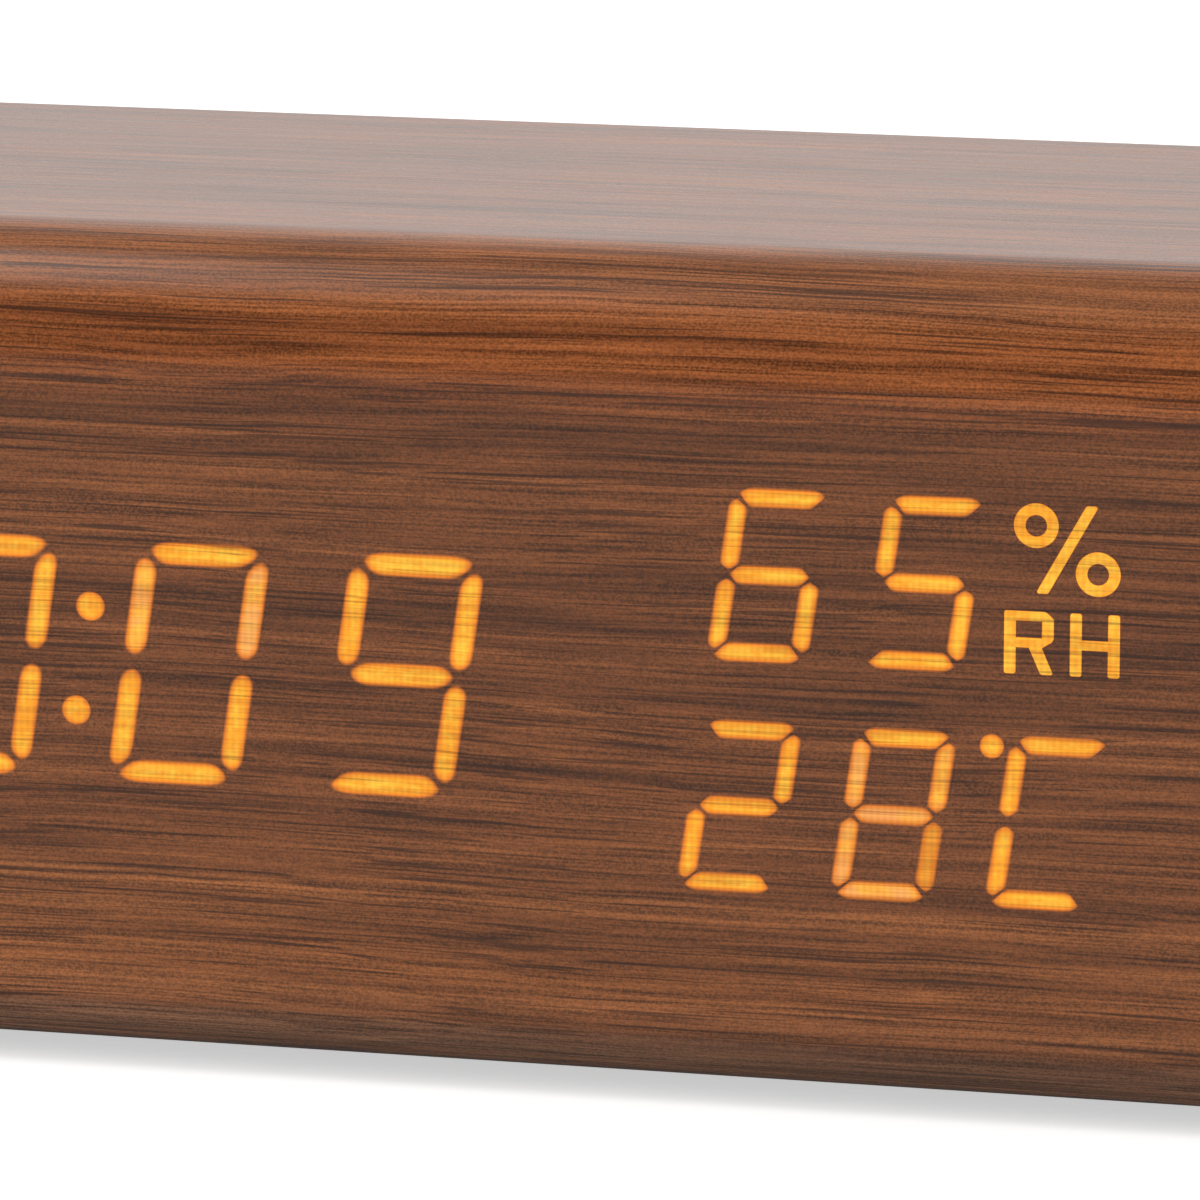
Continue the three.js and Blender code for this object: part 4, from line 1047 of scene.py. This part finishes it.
@dataclass
class Display:
    """The lit bars as they show through the film, and the light guide behind it.

    Sizes are in millimetres. The tips have how round they are and how far light spills past them. A blushing
    or dim spot has its X, its Z and its reach. The shoulders and the levelling are shares of a bar's breadth.
    """

    proud: float = 0.012
    thickness: float = 0.03
    margin: float = 0.14
    long_side: float = 2.6
    level_shoulder: float = 0.12
    upright_shoulder: float = 0.04
    levelling: float = 0.15
    thin: float = 0.11
    large_tips: tuple = (1.15, 0.05)
    small_tips: tuple = (0.62, 0.15)
    lit: float = 1.0
    far: float = 9.0
    dot_rim: float = 0.12
    corner: float = 0.1
    bend: float = 60.0
    bend_reach: float = 0.24
    stop: float = -35.78
    time_end: float = 9.0
    rows_meet: float = 36.0
    bar_corners: int = 6
    circle_steps: int = 40
    blushes: tuple = ((-21.0, 40.6, 3.0), (-11.4, 40.4, 3.4), (42.0, 25.6, 2.0), (37.2, 22.4, 2.4),
                      (40.9, 18.4, 2.2), (37.7, 28.6, 1.8), (46.2, 27.6, 1.8))
    blush_gain: float = 1.6
    dims: tuple = ((44.4, 21.9, 2.2),)
    front_reach: float = 0.05
    uneven_within: float = 0.3
    uneven_gain: float = 7.0
    round_sides: int = 12
    round_fit: float = 0.08
    ring_from: float = 0.1
    corner_steps: int = 4

    def guide(self, wardrobe: Wardrobe) -> bpy.types.Object:
        """Builds the light guide, its lit bars ending behind the film."""
        work = Workpiece.copied("segment_light_guide")
        for vert in work.mesh.verts:
            vert.co.y = max(vert.co.y, self.stop * MM)
        return work.finished("glowing_light_guide", wardrobe["milky_light_guide"], Slot.GUIDE,
                             replaced=["segment_light_guide"])

    def readings(self, wardrobe: Wardrobe) -> list[bpy.types.Object]:
        """Builds the lit bars and signs of each reading as thin patches over the film."""
        left, level = self.time_end * MM, self.rows_meet * MM
        groups = {"glowing_time": (self.large_tips, lambda c: c.x < left),
                  "glowing_humidity": (self.small_tips, lambda c: c.x >= left and c.z > level),
                  "glowing_temperature": (self.small_tips, lambda c: c.x >= left and c.z <= level)}
        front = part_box("segment_light_guide")[0].y + self.front_reach * MM
        pieces = []
        for name, (tips, belongs) in groups.items():
            work = Workpiece.copied("segment_light_guide")
            away = [f for f in work.mesh.faces
                    if f.normal.y > -FACING or f.calc_center_median().y > front]
            bmesh.ops.delete(work.mesh, geom=away, context="FACES")
            others = [f for island in self.islands(work.mesh)
                      if not belongs(mean(v.co for v in self.verts_in(island))) for f in island]
            bmesh.ops.delete(work.mesh, geom=others, context="FACES")
            self.draw(work.mesh, *tips)
            bmesh.ops.translate(work.mesh, vec=mm(0, -self.proud, 0), verts=work.mesh.verts)
            work.thicken(work.mesh.faces[:], mm(0, self.thickness, 0))
            pieces.append(work.finished(name, wardrobe["lit_walnut_film"], Slot.FILM))
        return pieces

    @staticmethod
    def islands(mesh: bmesh.types.BMesh) -> list[list[bmesh.types.BMFace]]:
        """The mesh's faces in groups that touch each other."""
        left, found = set(mesh.faces), []
        for start in list(mesh.faces):
            if start not in left:
                continue
            left.remove(start)
            front, island = [start], [start]
            while front:
                for other in {f for e in front.pop().edges for f in e.link_faces} & left:
                    left.remove(other)
                    front.append(other)
                    island.append(other)
            found.append(island)
        return found

    @staticmethod
    def verts_in(island: list[bmesh.types.BMFace]) -> set[bmesh.types.BMVert]:
        """The vertices of a group of faces."""
        return {v for f in island for v in f.verts}

    def draw(self, mesh: bmesh.types.BMesh, rounding: float, spill: float) -> None:
        """Finishes every outline and notes how deep each point lies inside its bar or sign, in millimetres.

        The depths from a bar's six sides are kept apart, because the finish rounds its corners from them.

        Args:
            mesh: The bars' and signs' front faces.
            rounding: How round the bars' tips are.
            spill: How far light spills past their short sides.
        """
        sides = [mesh.verts.layers.float_vector.new(name) for name in ("sides_a", "sides_b")]
        blush, roundness = (mesh.verts.layers.float.new(name) for name in ("blush", "rounding"))
        islands = self.islands(mesh)
        bars = [i[0] for i in islands if len(i) == 1 and len(i[0].verts) == self.bar_corners]
        signs = [i for i in islands if i[0] not in bars]
        corners = {face: self.bar_outline([v.co.copy() for v in face.verts]) for face in bars}
        for face, outline in corners.items():
            for vert, corner in zip(face.verts, outline):
                vert.co = corner
        self.face_forward(mesh)
        for island in signs:
            self.round_sign(mesh, island)
        self.face_forward(mesh)
        bar_verts = {v: face for face in bars for v in face.verts}
        centres = [v for v in mesh.verts if v not in bar_verts and not v.is_boundary]
        dot_rims = {e.other_vert(centre): centre for centre in centres for e in centre.link_edges}
        dot_depths = {centre: (rim.co - centre.co).length / MM for rim, centre in dot_rims.items()}
        outer = self.draw_out(mesh)
        half = self.bar_corners // 2
        for vert in mesh.verts:
            inner = outer.get(vert, vert)
            vert[roundness] = rounding
            if inner in bar_verts:
                depths = self.side_depths(vert.co, corners[bar_verts[inner]], spill)
            elif inner in dot_rims:
                depths = self.one_depth(self.dot_rim - (self.margin if vert in outer else 0))
            else:
                depths = self.one_depth(-self.margin if vert in outer else dot_depths.get(vert, self.lit))
            vert[sides[0]], vert[sides[1]] = Vector(depths[:half]), Vector(depths[half:])
        for vert, face in bar_verts.items():
            spot = mean(corners[face])
            near, dim = (max(1 - (spot.xz - mm(x, z)).length / (reach * MM) for x, z, reach in spots)
                         for spots in (self.blushes, self.dims))
            vert[blush] = min(1.0, self.blush_gain * max(0.0, near)) - max(0.0, dim)
        for vert, inner in outer.items():
            vert[blush] = inner[blush]

    def one_depth(self, depth: float) -> list[float]:
        """A depth that is the same from every side, as the first of a bar's six with the others far."""
        return [depth, *[self.far] * (self.bar_corners - 1)]

    def bar_outline(self, corners: list[Vector]) -> list[Vector]:
        """The outline in which a bar shines, its shoulders further from its tips than on the light guide.

        Args:
            corners: The bar's six corners on the light guide, in order.

        Returns:
            The corners of the lit outline.
        """
        count = len(corners)
        steps = [corners[(i + 1) % count] - corners[i] for i in range(count)]
        is_long = [step.length > self.long_side * MM for step in steps]
        first = is_long.index(True)
        along = steps[first].normalized()
        middle = mean(corners)
        inward = middle - corners[first]
        inward = (inward - along * inward.dot(along)).normalized()
        broad = inward.dot(corners[(first + count // 2) % count] - corners[first])
        shoulder = self.level_shoulder if abs(along.x) > abs(along.z) else self.upright_shoulder
        outline = []
        for index, corner in enumerate(corners):
            before, after = steps[index - 1], steps[index]
            if is_long[index]:
                outline.append(corner + after.normalized() * broad * shoulder)
            elif is_long[index - 1]:
                outline.append(corner - before.normalized() * broad * shoulder)
            else:
                spot = inward.dot(corner - corners[first]) / broad
                offside = max(0.0, self.uneven_within - min(spot, 1 - spot))
                uneven = min(1.0, offside * self.uneven_gain)
                out = along if along.dot(corner - middle) > 0 else -along
                level = inward if spot < 0.5 else -inward
                outline.append(corner + (out + level) * broad * self.levelling * uneven)
        return outline

    def side_depths(self, spot: Vector, corners: list[Vector], spill: float) -> list[float]:
        """How far inside each side of a bar a point lies, in millimetres.

        Args:
            spot: The point.
            corners: The bar's corners, in order.
            spill: How far light spills past its short sides.

        Returns:
            One depth for each side.
        """
        middle = mean(corners)
        depths = []
        for corner, following in zip(corners, corners[1:] + corners[:1]):
            side = following - corner
            inward = side.cross(BACKWARD).normalized()
            if inward.dot(middle - corner) < 0:
                inward.negate()
            beyond = 0 if side.length > self.long_side * MM else spill
            depths.append(inward.dot(spot - corner) / MM + beyond)
        return depths

    def round_sign(self, mesh: bmesh.types.BMesh, island: list[bmesh.types.BMFace]) -> None:
        """Slims a sign, then makes a dot or ring fully round or softens the corners of a letter or stroke.

        Args:
            mesh: The bars and signs.
            island: The sign's faces.
        """
        verts = self.verts_in(island)
        centre = mean(v.co for v in verts)
        reaches = [(v.co - centre).length for v in verts]
        area = sum(f.calc_area() for f in island)
        inner, outer = min(reaches), max(reaches)
        hollow = outer - inner > self.ring_from * MM
        thin = self.thin * MM
        full = math.pi * (outer ** 2 - (inner ** 2 if hollow else 0))
        if len(verts) % self.round_sides or abs(area / full - 1) > self.round_fit:
            self.soften_sign(mesh, verts)
            return
        bmesh.ops.delete(mesh, geom=island, context="FACES")
        made = bmesh.ops.create_circle(mesh, cap_ends=True, cap_tris=not hollow, segments=self.circle_steps,
                                       radius=outer - (thin if hollow else 0),
                                       matrix=Matrix.Translation(centre) @ UPRIGHT)
        if hollow:
            face = made["verts"][0].link_faces[0]
            bmesh.ops.inset_individual(mesh, faces=[face], thickness=outer - inner - 2 * thin,
                                       use_even_offset=True)
            bmesh.ops.delete(mesh, geom=[face], context="FACES")

    def soften_sign(self, mesh: bmesh.types.BMesh, verts: set[bmesh.types.BMVert]) -> None:
        """Slims a letter or stroke and rounds its corners, its slight bends over a longer reach.

        Args:
            mesh: The bars and signs.
            verts: The sign's vertices.
        """
        moves = {v: self.outward(v) * self.thin * MM for v in verts}
        for vert, move in moves.items():
            vert.co -= move
        plain = [v for v in verts if len(v.link_edges) == 2]
        bends = [v for v in plain if v.calc_edge_angle(0) < math.radians(self.bend)]
        sharp = [v for v in plain if v not in bends]
        for group, reach in ((bends, self.bend_reach), (sharp, self.corner)):
            bmesh.ops.bevel(mesh, geom=group, offset=reach * MM, offset_type="OFFSET",
                            segments=self.corner_steps, profile=0.5, affect="VERTICES", material=-1,
                            clamp_overlap=True)

    @staticmethod
    def outward(vert: bmesh.types.BMVert) -> Vector:
        """How a corner of an outline moves when the outline grows by one metre on every side.

        Args:
            vert: The corner.

        Returns:
            Its move.
        """
        normals = []
        for edge in (e for e in vert.link_edges if e.is_boundary):
            loop = edge.link_loops[0]
            along = (loop.link_loop_next.vert.co - loop.vert.co).normalized()
            normals.append(along.cross(loop.face.normal))
        middle = sum(normals, Vector()).normalized()
        return middle / max(LEAST_MITRE, middle.dot(normals[0]))

    def draw_out(self, mesh: bmesh.types.BMesh) -> dict[bmesh.types.BMVert, bmesh.types.BMVert]:
        """Draws every outline out by its soft rim.

        Args:
            mesh: The bars and signs.

        Returns:
            The vertex that each new one was drawn from.
        """
        rim = [e for e in mesh.edges if e.is_boundary]
        corners = {v for e in rim for v in e.verts}
        pushes = {v.co.to_tuple(DECIMALS): (self.outward(v) * self.margin * MM, v) for v in corners}
        outer = {}
        for vert in verts_of(bmesh.ops.extrude_edge_only(mesh, edges=rim)["geom"]):
            push, inner = pushes[vert.co.to_tuple(DECIMALS)]
            vert.co += push
            outer[vert] = inner
        self.face_forward(mesh)
        return outer

    @staticmethod
    def face_forward(mesh: bmesh.types.BMesh) -> None:
        """Turns every face to the front."""
        bmesh.ops.recalc_face_normals(mesh, faces=mesh.faces)
        bmesh.ops.reverse_faces(mesh, faces=[f for f in mesh.faces if f.normal.y > 0])

    def build(self, wardrobe: Wardrobe) -> list[bpy.types.Object]:
        """Builds the guide and the readings."""
        return [self.guide(wardrobe), *self.readings(wardrobe)]


class Sign(Enum):
    """The moulded sign over each key."""

    SET = "set"
    UP = "up"
    DOWN = "down"
    ALARM = "alarm"


@dataclass
class RearPanel:
    """The rear cover with its screws, keys, signs and cell door.

    Sizes are in millimetres. The stem and the flange have a radius and a length, a ridge its width, its
    height and how proud it is, and the clapper its radius and its level. The points of the cap's rim have
    their distance in from its side and down from its top, and the dish's their radius and the same drop.
    """

    rim: float = 0.25
    screw_count: int = 4
    screw_head: float = 0.9
    screw_turn: float = 30
    screw_rim: float = 0.12
    stem: tuple = (2.0, 2.2)
    flange: tuple = (5.0, 1.0)
    cap: float = 3.8
    cap_rim: tuple = ((0, 0.5), (0.05, 0.3), (0.17, 0.13), (0.36, 0.03), (0.6, 0), (0.9, 0.03))
    cap_dish: tuple = ((2.2, 0.16), (1.2, 0.27), (0, 0.31))
    key_steps: int = 56
    sign_height: float = 0.14
    sign_sunk: float = 0.02
    sign_lift: float = 7.2
    sign_reach: float = 1.7
    arrow_foot_share: float = 0.8
    bell: tuple = ((-1.5, -0.95), (1.5, -0.95), (1.1, -0.5), (1.0, 0.5), (0.62, 1.15), (0, 1.4),
                   (-0.62, 1.15), (-1.0, 0.5), (-1.1, -0.5))
    clapper: tuple = (0.36, -1.45)
    clapper_steps: int = 12
    wheel_radius: float = 1.2
    wheel_wall: float = 0.65
    teeth: int = 8
    tooth_steps: int = 4
    tooth_growth: float = 1.36
    door_rim: float = 0.2
    ridge: tuple = (9.0, 0.7, 0.28)
    ridge_sunk: float = 0.2
    ridge_rim: float = 0.2
    ridge_start: float = 2.2
    ridge_pitch: float = 1.5
    ridges: int = 3

    def cover(self, wardrobe: Wardrobe) -> bpy.types.Object:
        """Builds the cover with softened outer edges."""
        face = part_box("rear_cover")[1].y
        work = Workpiece.copied("rear_cover")
        work.round_edges(work.sharp(lambda co: co.y > face - SLACK), self.rim)
        return evenly_shaded(work.finished("rear_panel", wardrobe["black_moulding"], Slot.BLACK,
                                           replaced=["rear_cover"]))

    def screws(self, wardrobe: Wardrobe) -> list[bpy.types.Object]:
        """Builds the cross-head screws with rounded heads."""
        pieces = []
        for number in range(1, self.screw_count + 1):
            node = f"rear_screw_{number}"
            work = Workpiece.copied(node)
            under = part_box(node)[1].y - self.screw_head * MM
            work.round_edges(work.sharp(lambda co: co.y > under, self.screw_turn), self.screw_rim)
            pieces.append(work.finished(f"cross_head_screw_{number}", wardrobe["plated_steel"], Slot.STEEL,
                                        replaced=[node]))
        return pieces

    def key(self, sign: Sign, body: Body, wardrobe: Wardrobe) -> bpy.types.Object:
        """Builds one key: a cap with a rounded rim and a finger dish, on its flange and stem.

        Args:
            sign: Which key.
            body: The body that it rides on.
            wardrobe: The finishes.

        Returns:
            The piece.
        """
        node = f"{sign.value}_button"
        low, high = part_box(node)
        middle = centre_of(low, high)
        tall = (high.y - low.y) / MM
        (stem, root), (flange, thick) = self.stem, self.flange
        shoulder = root + thick
        profile = [(0, 0), (stem, 0), (stem, root), (flange, root), (flange, shoulder), (self.cap, shoulder)]
        profile += [(self.cap - inset, tall - drop) for inset, drop in self.cap_rim]
        profile += [(radius, tall - drop) for radius, drop in self.cap_dish]
        work = Workpiece.turned(profile, Vector((middle.x, low.y, middle.z)), self.key_steps)
        return work.finished(f"{sign.value}_key_cap", wardrobe["key_plastic"], Slot.KEY, body, [node])

    def sign(self, sign: Sign, wardrobe: Wardrobe) -> bpy.types.Object:
        """Builds the sign over one key: a toothed wheel, an arrow up, an arrow down or a bell.

        Args:
            sign: Which sign.
            wardrobe: The finishes.

        Returns:
            The piece.
        """
        middle = centre_of(*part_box(f"{sign.value}_button"))
        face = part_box("rear_cover")[1].y
        spot = Vector((middle.x, face - self.sign_sunk * MM, middle.z + self.sign_lift * MM))
        thick = mm(0, self.sign_height + self.sign_sunk, 0)
        work = Workpiece()
        if sign is Sign.SET:
            self.wheel(work, spot, thick)
        elif sign is Sign.ALARM:
            radius, level = self.clapper
            turns = (math.tau * step / self.clapper_steps for step in range(self.clapper_steps))
            clapper = [(math.cos(turn) * radius, level + math.sin(turn) * radius) for turn in turns]
            for outline in (self.bell, clapper):
                work.plate([spot + mm(x, 0, z) for x, z in outline], thick)
        else:
            reach = self.sign_reach
            tip = reach if sign is Sign.UP else -reach
            foot = -self.arrow_foot_share * tip
            work.plate([spot + mm(x, 0, z) for x, z in ((0, tip), (-reach, foot), (reach, foot))], thick)
        return work.finished(f"{sign.value}_sign", wardrobe["pale_print"], Slot.WHITE)

    def wheel(self, work: Workpiece, spot: Vector, thick: Vector) -> None:
        """Adds the toothed wheel.

        Args:
            work: The sign being shaped.
            spot: The wheel's middle.
            thick: How far its face is drawn out.
        """
        facing = Matrix.Translation(spot) @ UPRIGHT
        made = bmesh.ops.create_circle(work.mesh, cap_ends=True, segments=self.tooth_steps * self.teeth,
                                       radius=self.wheel_radius * MM, matrix=facing)
        face = made["verts"][0].link_faces[0]
        bmesh.ops.inset_individual(work.mesh, faces=[face], thickness=self.wheel_wall * MM,
                                   use_even_offset=True)
        bmesh.ops.delete(work.mesh, geom=[face], context="FACES")
        least = (self.wheel_radius - self.wheel_wall / 2) * MM
        away = {e: mean(v.co for v in e.verts) - spot for e in work.mesh.edges if e.is_boundary}
        rim = sorted((e for e, place in away.items() if place.length > least),
                     key=lambda e: math.atan2(*away[e].xz))
        toothed = [e for i, e in enumerate(rim) if i % self.tooth_steps < self.tooth_steps // 2]
        for vert in verts_of(bmesh.ops.extrude_edge_only(work.mesh, edges=toothed)["geom"]):
            vert.co = spot + (vert.co - spot) * self.tooth_growth
        work.thicken(work.mesh.faces[:], thick)

    def door(self, wardrobe: Wardrobe) -> bpy.types.Object:
        """Builds the cell door with softened edges and finger ridges under its notch."""
        low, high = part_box("battery_door")
        work = Workpiece.copied("battery_door")
        work.round_edges(work.sharp(lambda co: co.y > high.y - SLACK), self.door_rim)
        wide, tall, proud = (size * MM for size in self.ridge)
        middle = centre_of(low, high).x
        for number in range(self.ridges):
            level = high.z - (self.ridge_start + number * self.ridge_pitch) * MM
            verts = work.block(Vector((middle - wide / 2, high.y - self.ridge_sunk * MM, level - tall)),
                               Vector((middle + wide / 2, high.y + proud, level)))
            edges = {e for v in verts for e in v.link_edges if all(w.co.y > high.y for w in e.verts)}
            work.round_edges(edges, self.ridge_rim)
        return evenly_shaded(work.finished("cell_door_panel", wardrobe["black_moulding"], Slot.BLACK,
                                           Body.DOOR, ["battery_door"]))

    def build(self, wardrobe: Wardrobe) -> list[bpy.types.Object]:
        """Builds the rear's pieces."""
        bodies = {Sign.SET: Body.SET, Sign.UP: Body.UP, Sign.DOWN: Body.DOWN, Sign.ALARM: Body.ALARM}
        return [self.cover(wardrobe), *self.screws(wardrobe), self.door(wardrobe),
                *(self.key(sign, body, wardrobe) for sign, body in bodies.items()),
                *(self.sign(sign, wardrobe) for sign in bodies)]


@dataclass
class Charger:
    """The charging coil, wound from round wire in one flat spiral round a hollow."""

    turns: int = 12
    steps: int = 40
    wire_steps: int = 2
    hollow_share: float = 0.5125
    smooth: float = 60

    def build(self, wardrobe: Wardrobe) -> list[bpy.types.Object]:
        """Winds the coil."""
        low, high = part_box("charging_coil")
        middle = centre_of(low, high)
        outer = (high.x - low.x) / 2
        inner = outer * self.hollow_share
        wire = (outer - inner) / (self.turns + 1) / 2
        curve = bpy.data.curves.new("coil_path", "CURVE")
        curve.dimensions = "3D"
        curve.bevel_depth = wire
        curve.bevel_resolution = self.wire_steps
        curve.use_fill_caps = True
        route = curve.splines.new("POLY")
        count = self.turns * self.steps
        route.points.add(count)
        for step, point in enumerate(route.points):
            turn = math.tau * step / self.steps
            reach = inner + wire + (outer - inner - 2 * wire) * step / count
            point.co = (middle.x + reach * math.cos(turn), middle.y + reach * math.sin(turn), middle.z, 1)
        former = bpy.data.objects.new("coil_path", curve)
        work = Workpiece()
        work.mesh.from_mesh(bpy.data.meshes.new_from_object(former))
        bpy.data.objects.remove(former)
        work.weld()
        bmesh.ops.recalc_face_normals(work.mesh, faces=work.mesh.faces)
        return [work.finished("wound_coil", wardrobe["drawn_copper"], Slot.COPPER,
                              replaced=["charging_coil"], smooth=self.smooth)]


@dataclass
class Innards:
    """The CAD nodes that keep their own shape, each in the finish of its slot."""

    def build(self, wardrobe: Wardrobe) -> list[bpy.types.Object]:
        """Dresses every CAD node."""
        slots = {part["node"]: part["material_slot"] for part in frame["record"]["subparts"]}
        finishes = wardrobe.by_slot
        for name, node in frame["nodes"].items():
            finish = finishes[slots[name]]
            if not node.material_slots:
                node.data.materials.append(finish)
            for slot in node.material_slots:
                slot.material = finish
        return [node for node in frame["nodes"].values() if not node.hide_render]


@dataclass
class Studio:
    """The floor, the softbox, the surroundings and the camera.

    Sizes are in metres, but the lens and its sensor in millimetres. The glows are strengths of light. The
    ends are the height or depth of a direction, from -1 to 1, followed by how bright the sky is at each.
    """

    floor_side: float = 8.0
    floor_colour: Colour = (0.86, 0.86, 0.86)
    floor_mirrored: Colour = (0.60, 0.60, 0.60)
    floor_roughness: float = 0.9
    floor_glow: float = 0.55
    floor_mirrored_glow: float = 0.05
    camera_place: tuple = (0.1732, -0.6610, 0.1748)
    right: tuple = (0.9703, 0.2419, 0.0)
    up: tuple = (-0.0491, 0.1968, 0.9792)
    forward: tuple = (-0.2369, 0.9501, -0.2028)
    nearest: float = 0.01
    lens: float = 246.6
    sensor: float = 36.0
    softbox: tuple = (0.66, 0.53)
    softbox_place: tuple = (-0.60, -0.137, 0.90)
    softbox_power: float = 3.5
    fill: float = 0.74
    overhead_ends: tuple = (0.50, 0.88, 1.0, 0.30)
    frontal_ends: tuple = (-0.50, 0.0, 0.05, 1.0)

    def camera(self) -> None:
        """Sets the camera at the photograph's angle."""
        data = bpy.data.cameras.new("camera")
        data.lens = self.lens
        data.sensor_width = self.sensor
        data.clip_start = self.nearest
        camera = bpy.data.objects.new("camera", data)
        turn = Matrix((self.right, self.up, tuple(-c for c in self.forward))).transposed()
        camera.matrix_world = Matrix.Translation(self.camera_place) @ turn.to_4x4()
        bpy.context.scene.collection.objects.link(camera)
        bpy.context.scene.camera = camera

    def floor(self) -> None:
        """Lays the pale floor, bright enough to the camera to read white, and clear when seen from below."""
        mesh = bmesh.new()
        bmesh.ops.create_grid(mesh, x_segments=1, y_segments=1, size=self.floor_side / 2)
        data = bpy.data.meshes.new("floor")
        mesh.to_mesh(data)
        mesh.free()
        floor = bpy.data.objects.new("floor", data)
        bpy.context.scene.collection.objects.link(floor)
        sheet = NodeSheet("pale_floor")
        straight, glossy = self.rays(sheet)
        sheet.shade(Base_Color=sheet.blend(glossy, self.floor_colour, self.floor_mirrored))
        sheet.shade(Roughness=self.floor_roughness, Emission_Color=WHITE_LIGHT)
        glow = sheet.weighed((glossy, self.floor_mirrored_glow), (straight, self.floor_glow))
        sheet.shade(Emission_Strength=glow)
        below = sheet.add("ShaderNodeNewGeometry", {}).outputs["Backfacing"]
        clear = sheet.add("ShaderNodeBsdfTransparent", {}).outputs[0]
        surface = sheet.mixed(below, sheet.shader.outputs[0], clear)
        sheet.feed(sheet.tree.nodes["Material Output"].inputs["Surface"], surface)
        data.materials.append(sheet.material)

    @staticmethod
    def rays(nodes: Nodes) -> tuple[Socket, Socket]:
        """Whether a place is seen straight, also through something clear, and whether it is seen mirrored.

        Args:
            nodes: The nodes of a material or of the world.

        Returns:
            Each as 0 or 1.
        """
        path = nodes.add("ShaderNodeLightPath", {}).outputs
        straight = nodes.calc("MAXIMUM", path["Is Camera Ray"], path["Is Transmission Ray"])
        return straight, path["Is Glossy Ray"]

    def world(self) -> None:
        """Lights the surroundings: white to the camera, and darker overhead and in front where mirrored."""
        world = bpy.data.worlds.new("surroundings")
        world.use_nodes = True
        bpy.context.scene.world = world
        world.node_tree.nodes.clear()
        sky = Nodes(world.node_tree)
        straight, glossy = self.rays(sky)
        _, depth, height = sky.axes(sky.add("ShaderNodeTexCoord", {}).outputs["Generated"])
        overhead, frontal = sky.span(height, *self.overhead_ends), sky.span(depth, *self.frontal_ends)
        bright = sky.calc("MULTIPLY", overhead, frontal)
        mirrored, seen, soft = (
            sky.add("ShaderNodeBackground", {"Color": WHITE_LIGHT, "Strength": strength}).outputs[0]
            for strength in (bright, 1.0, self.fill))
        surface = sky.mixed(straight, sky.mixed(glossy, soft, mirrored), seen)
        sky.add("ShaderNodeOutputWorld", {0: surface})

    def softbox_lamp(self) -> None:
        """Hangs the softbox overhead."""
        data = bpy.data.lights.new("softbox", "AREA")
        data.shape = "RECTANGLE"
        data.size, data.size_y = self.softbox
        data.energy = self.softbox_power
        lamp = bpy.data.objects.new("softbox", data)
        lamp.location = self.softbox_place
        bpy.context.scene.collection.objects.link(lamp)

    def build(self) -> None:
        """Builds the studio."""
        self.camera()
        self.floor()
        self.world()
        self.softbox_lamp()
        bpy.context.scene.view_settings.view_transform = "Standard"


def main() -> None:
    """Builds the clock and the studio."""
    logging.basicConfig(level=logging.INFO, format="%(message)s", stream=sys.stdout)
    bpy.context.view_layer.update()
    wardrobe = Wardrobe()
    Studio().build()
    for assembly in (Casing(), Display(), RearPanel(), Charger(), Innards()):
        for piece in assembly.build(wardrobe):
            log.info("%s: %s, %d faces", type(assembly).__name__, piece.name, len(piece.data.polygons))


if __name__ == "__main__":
    main()
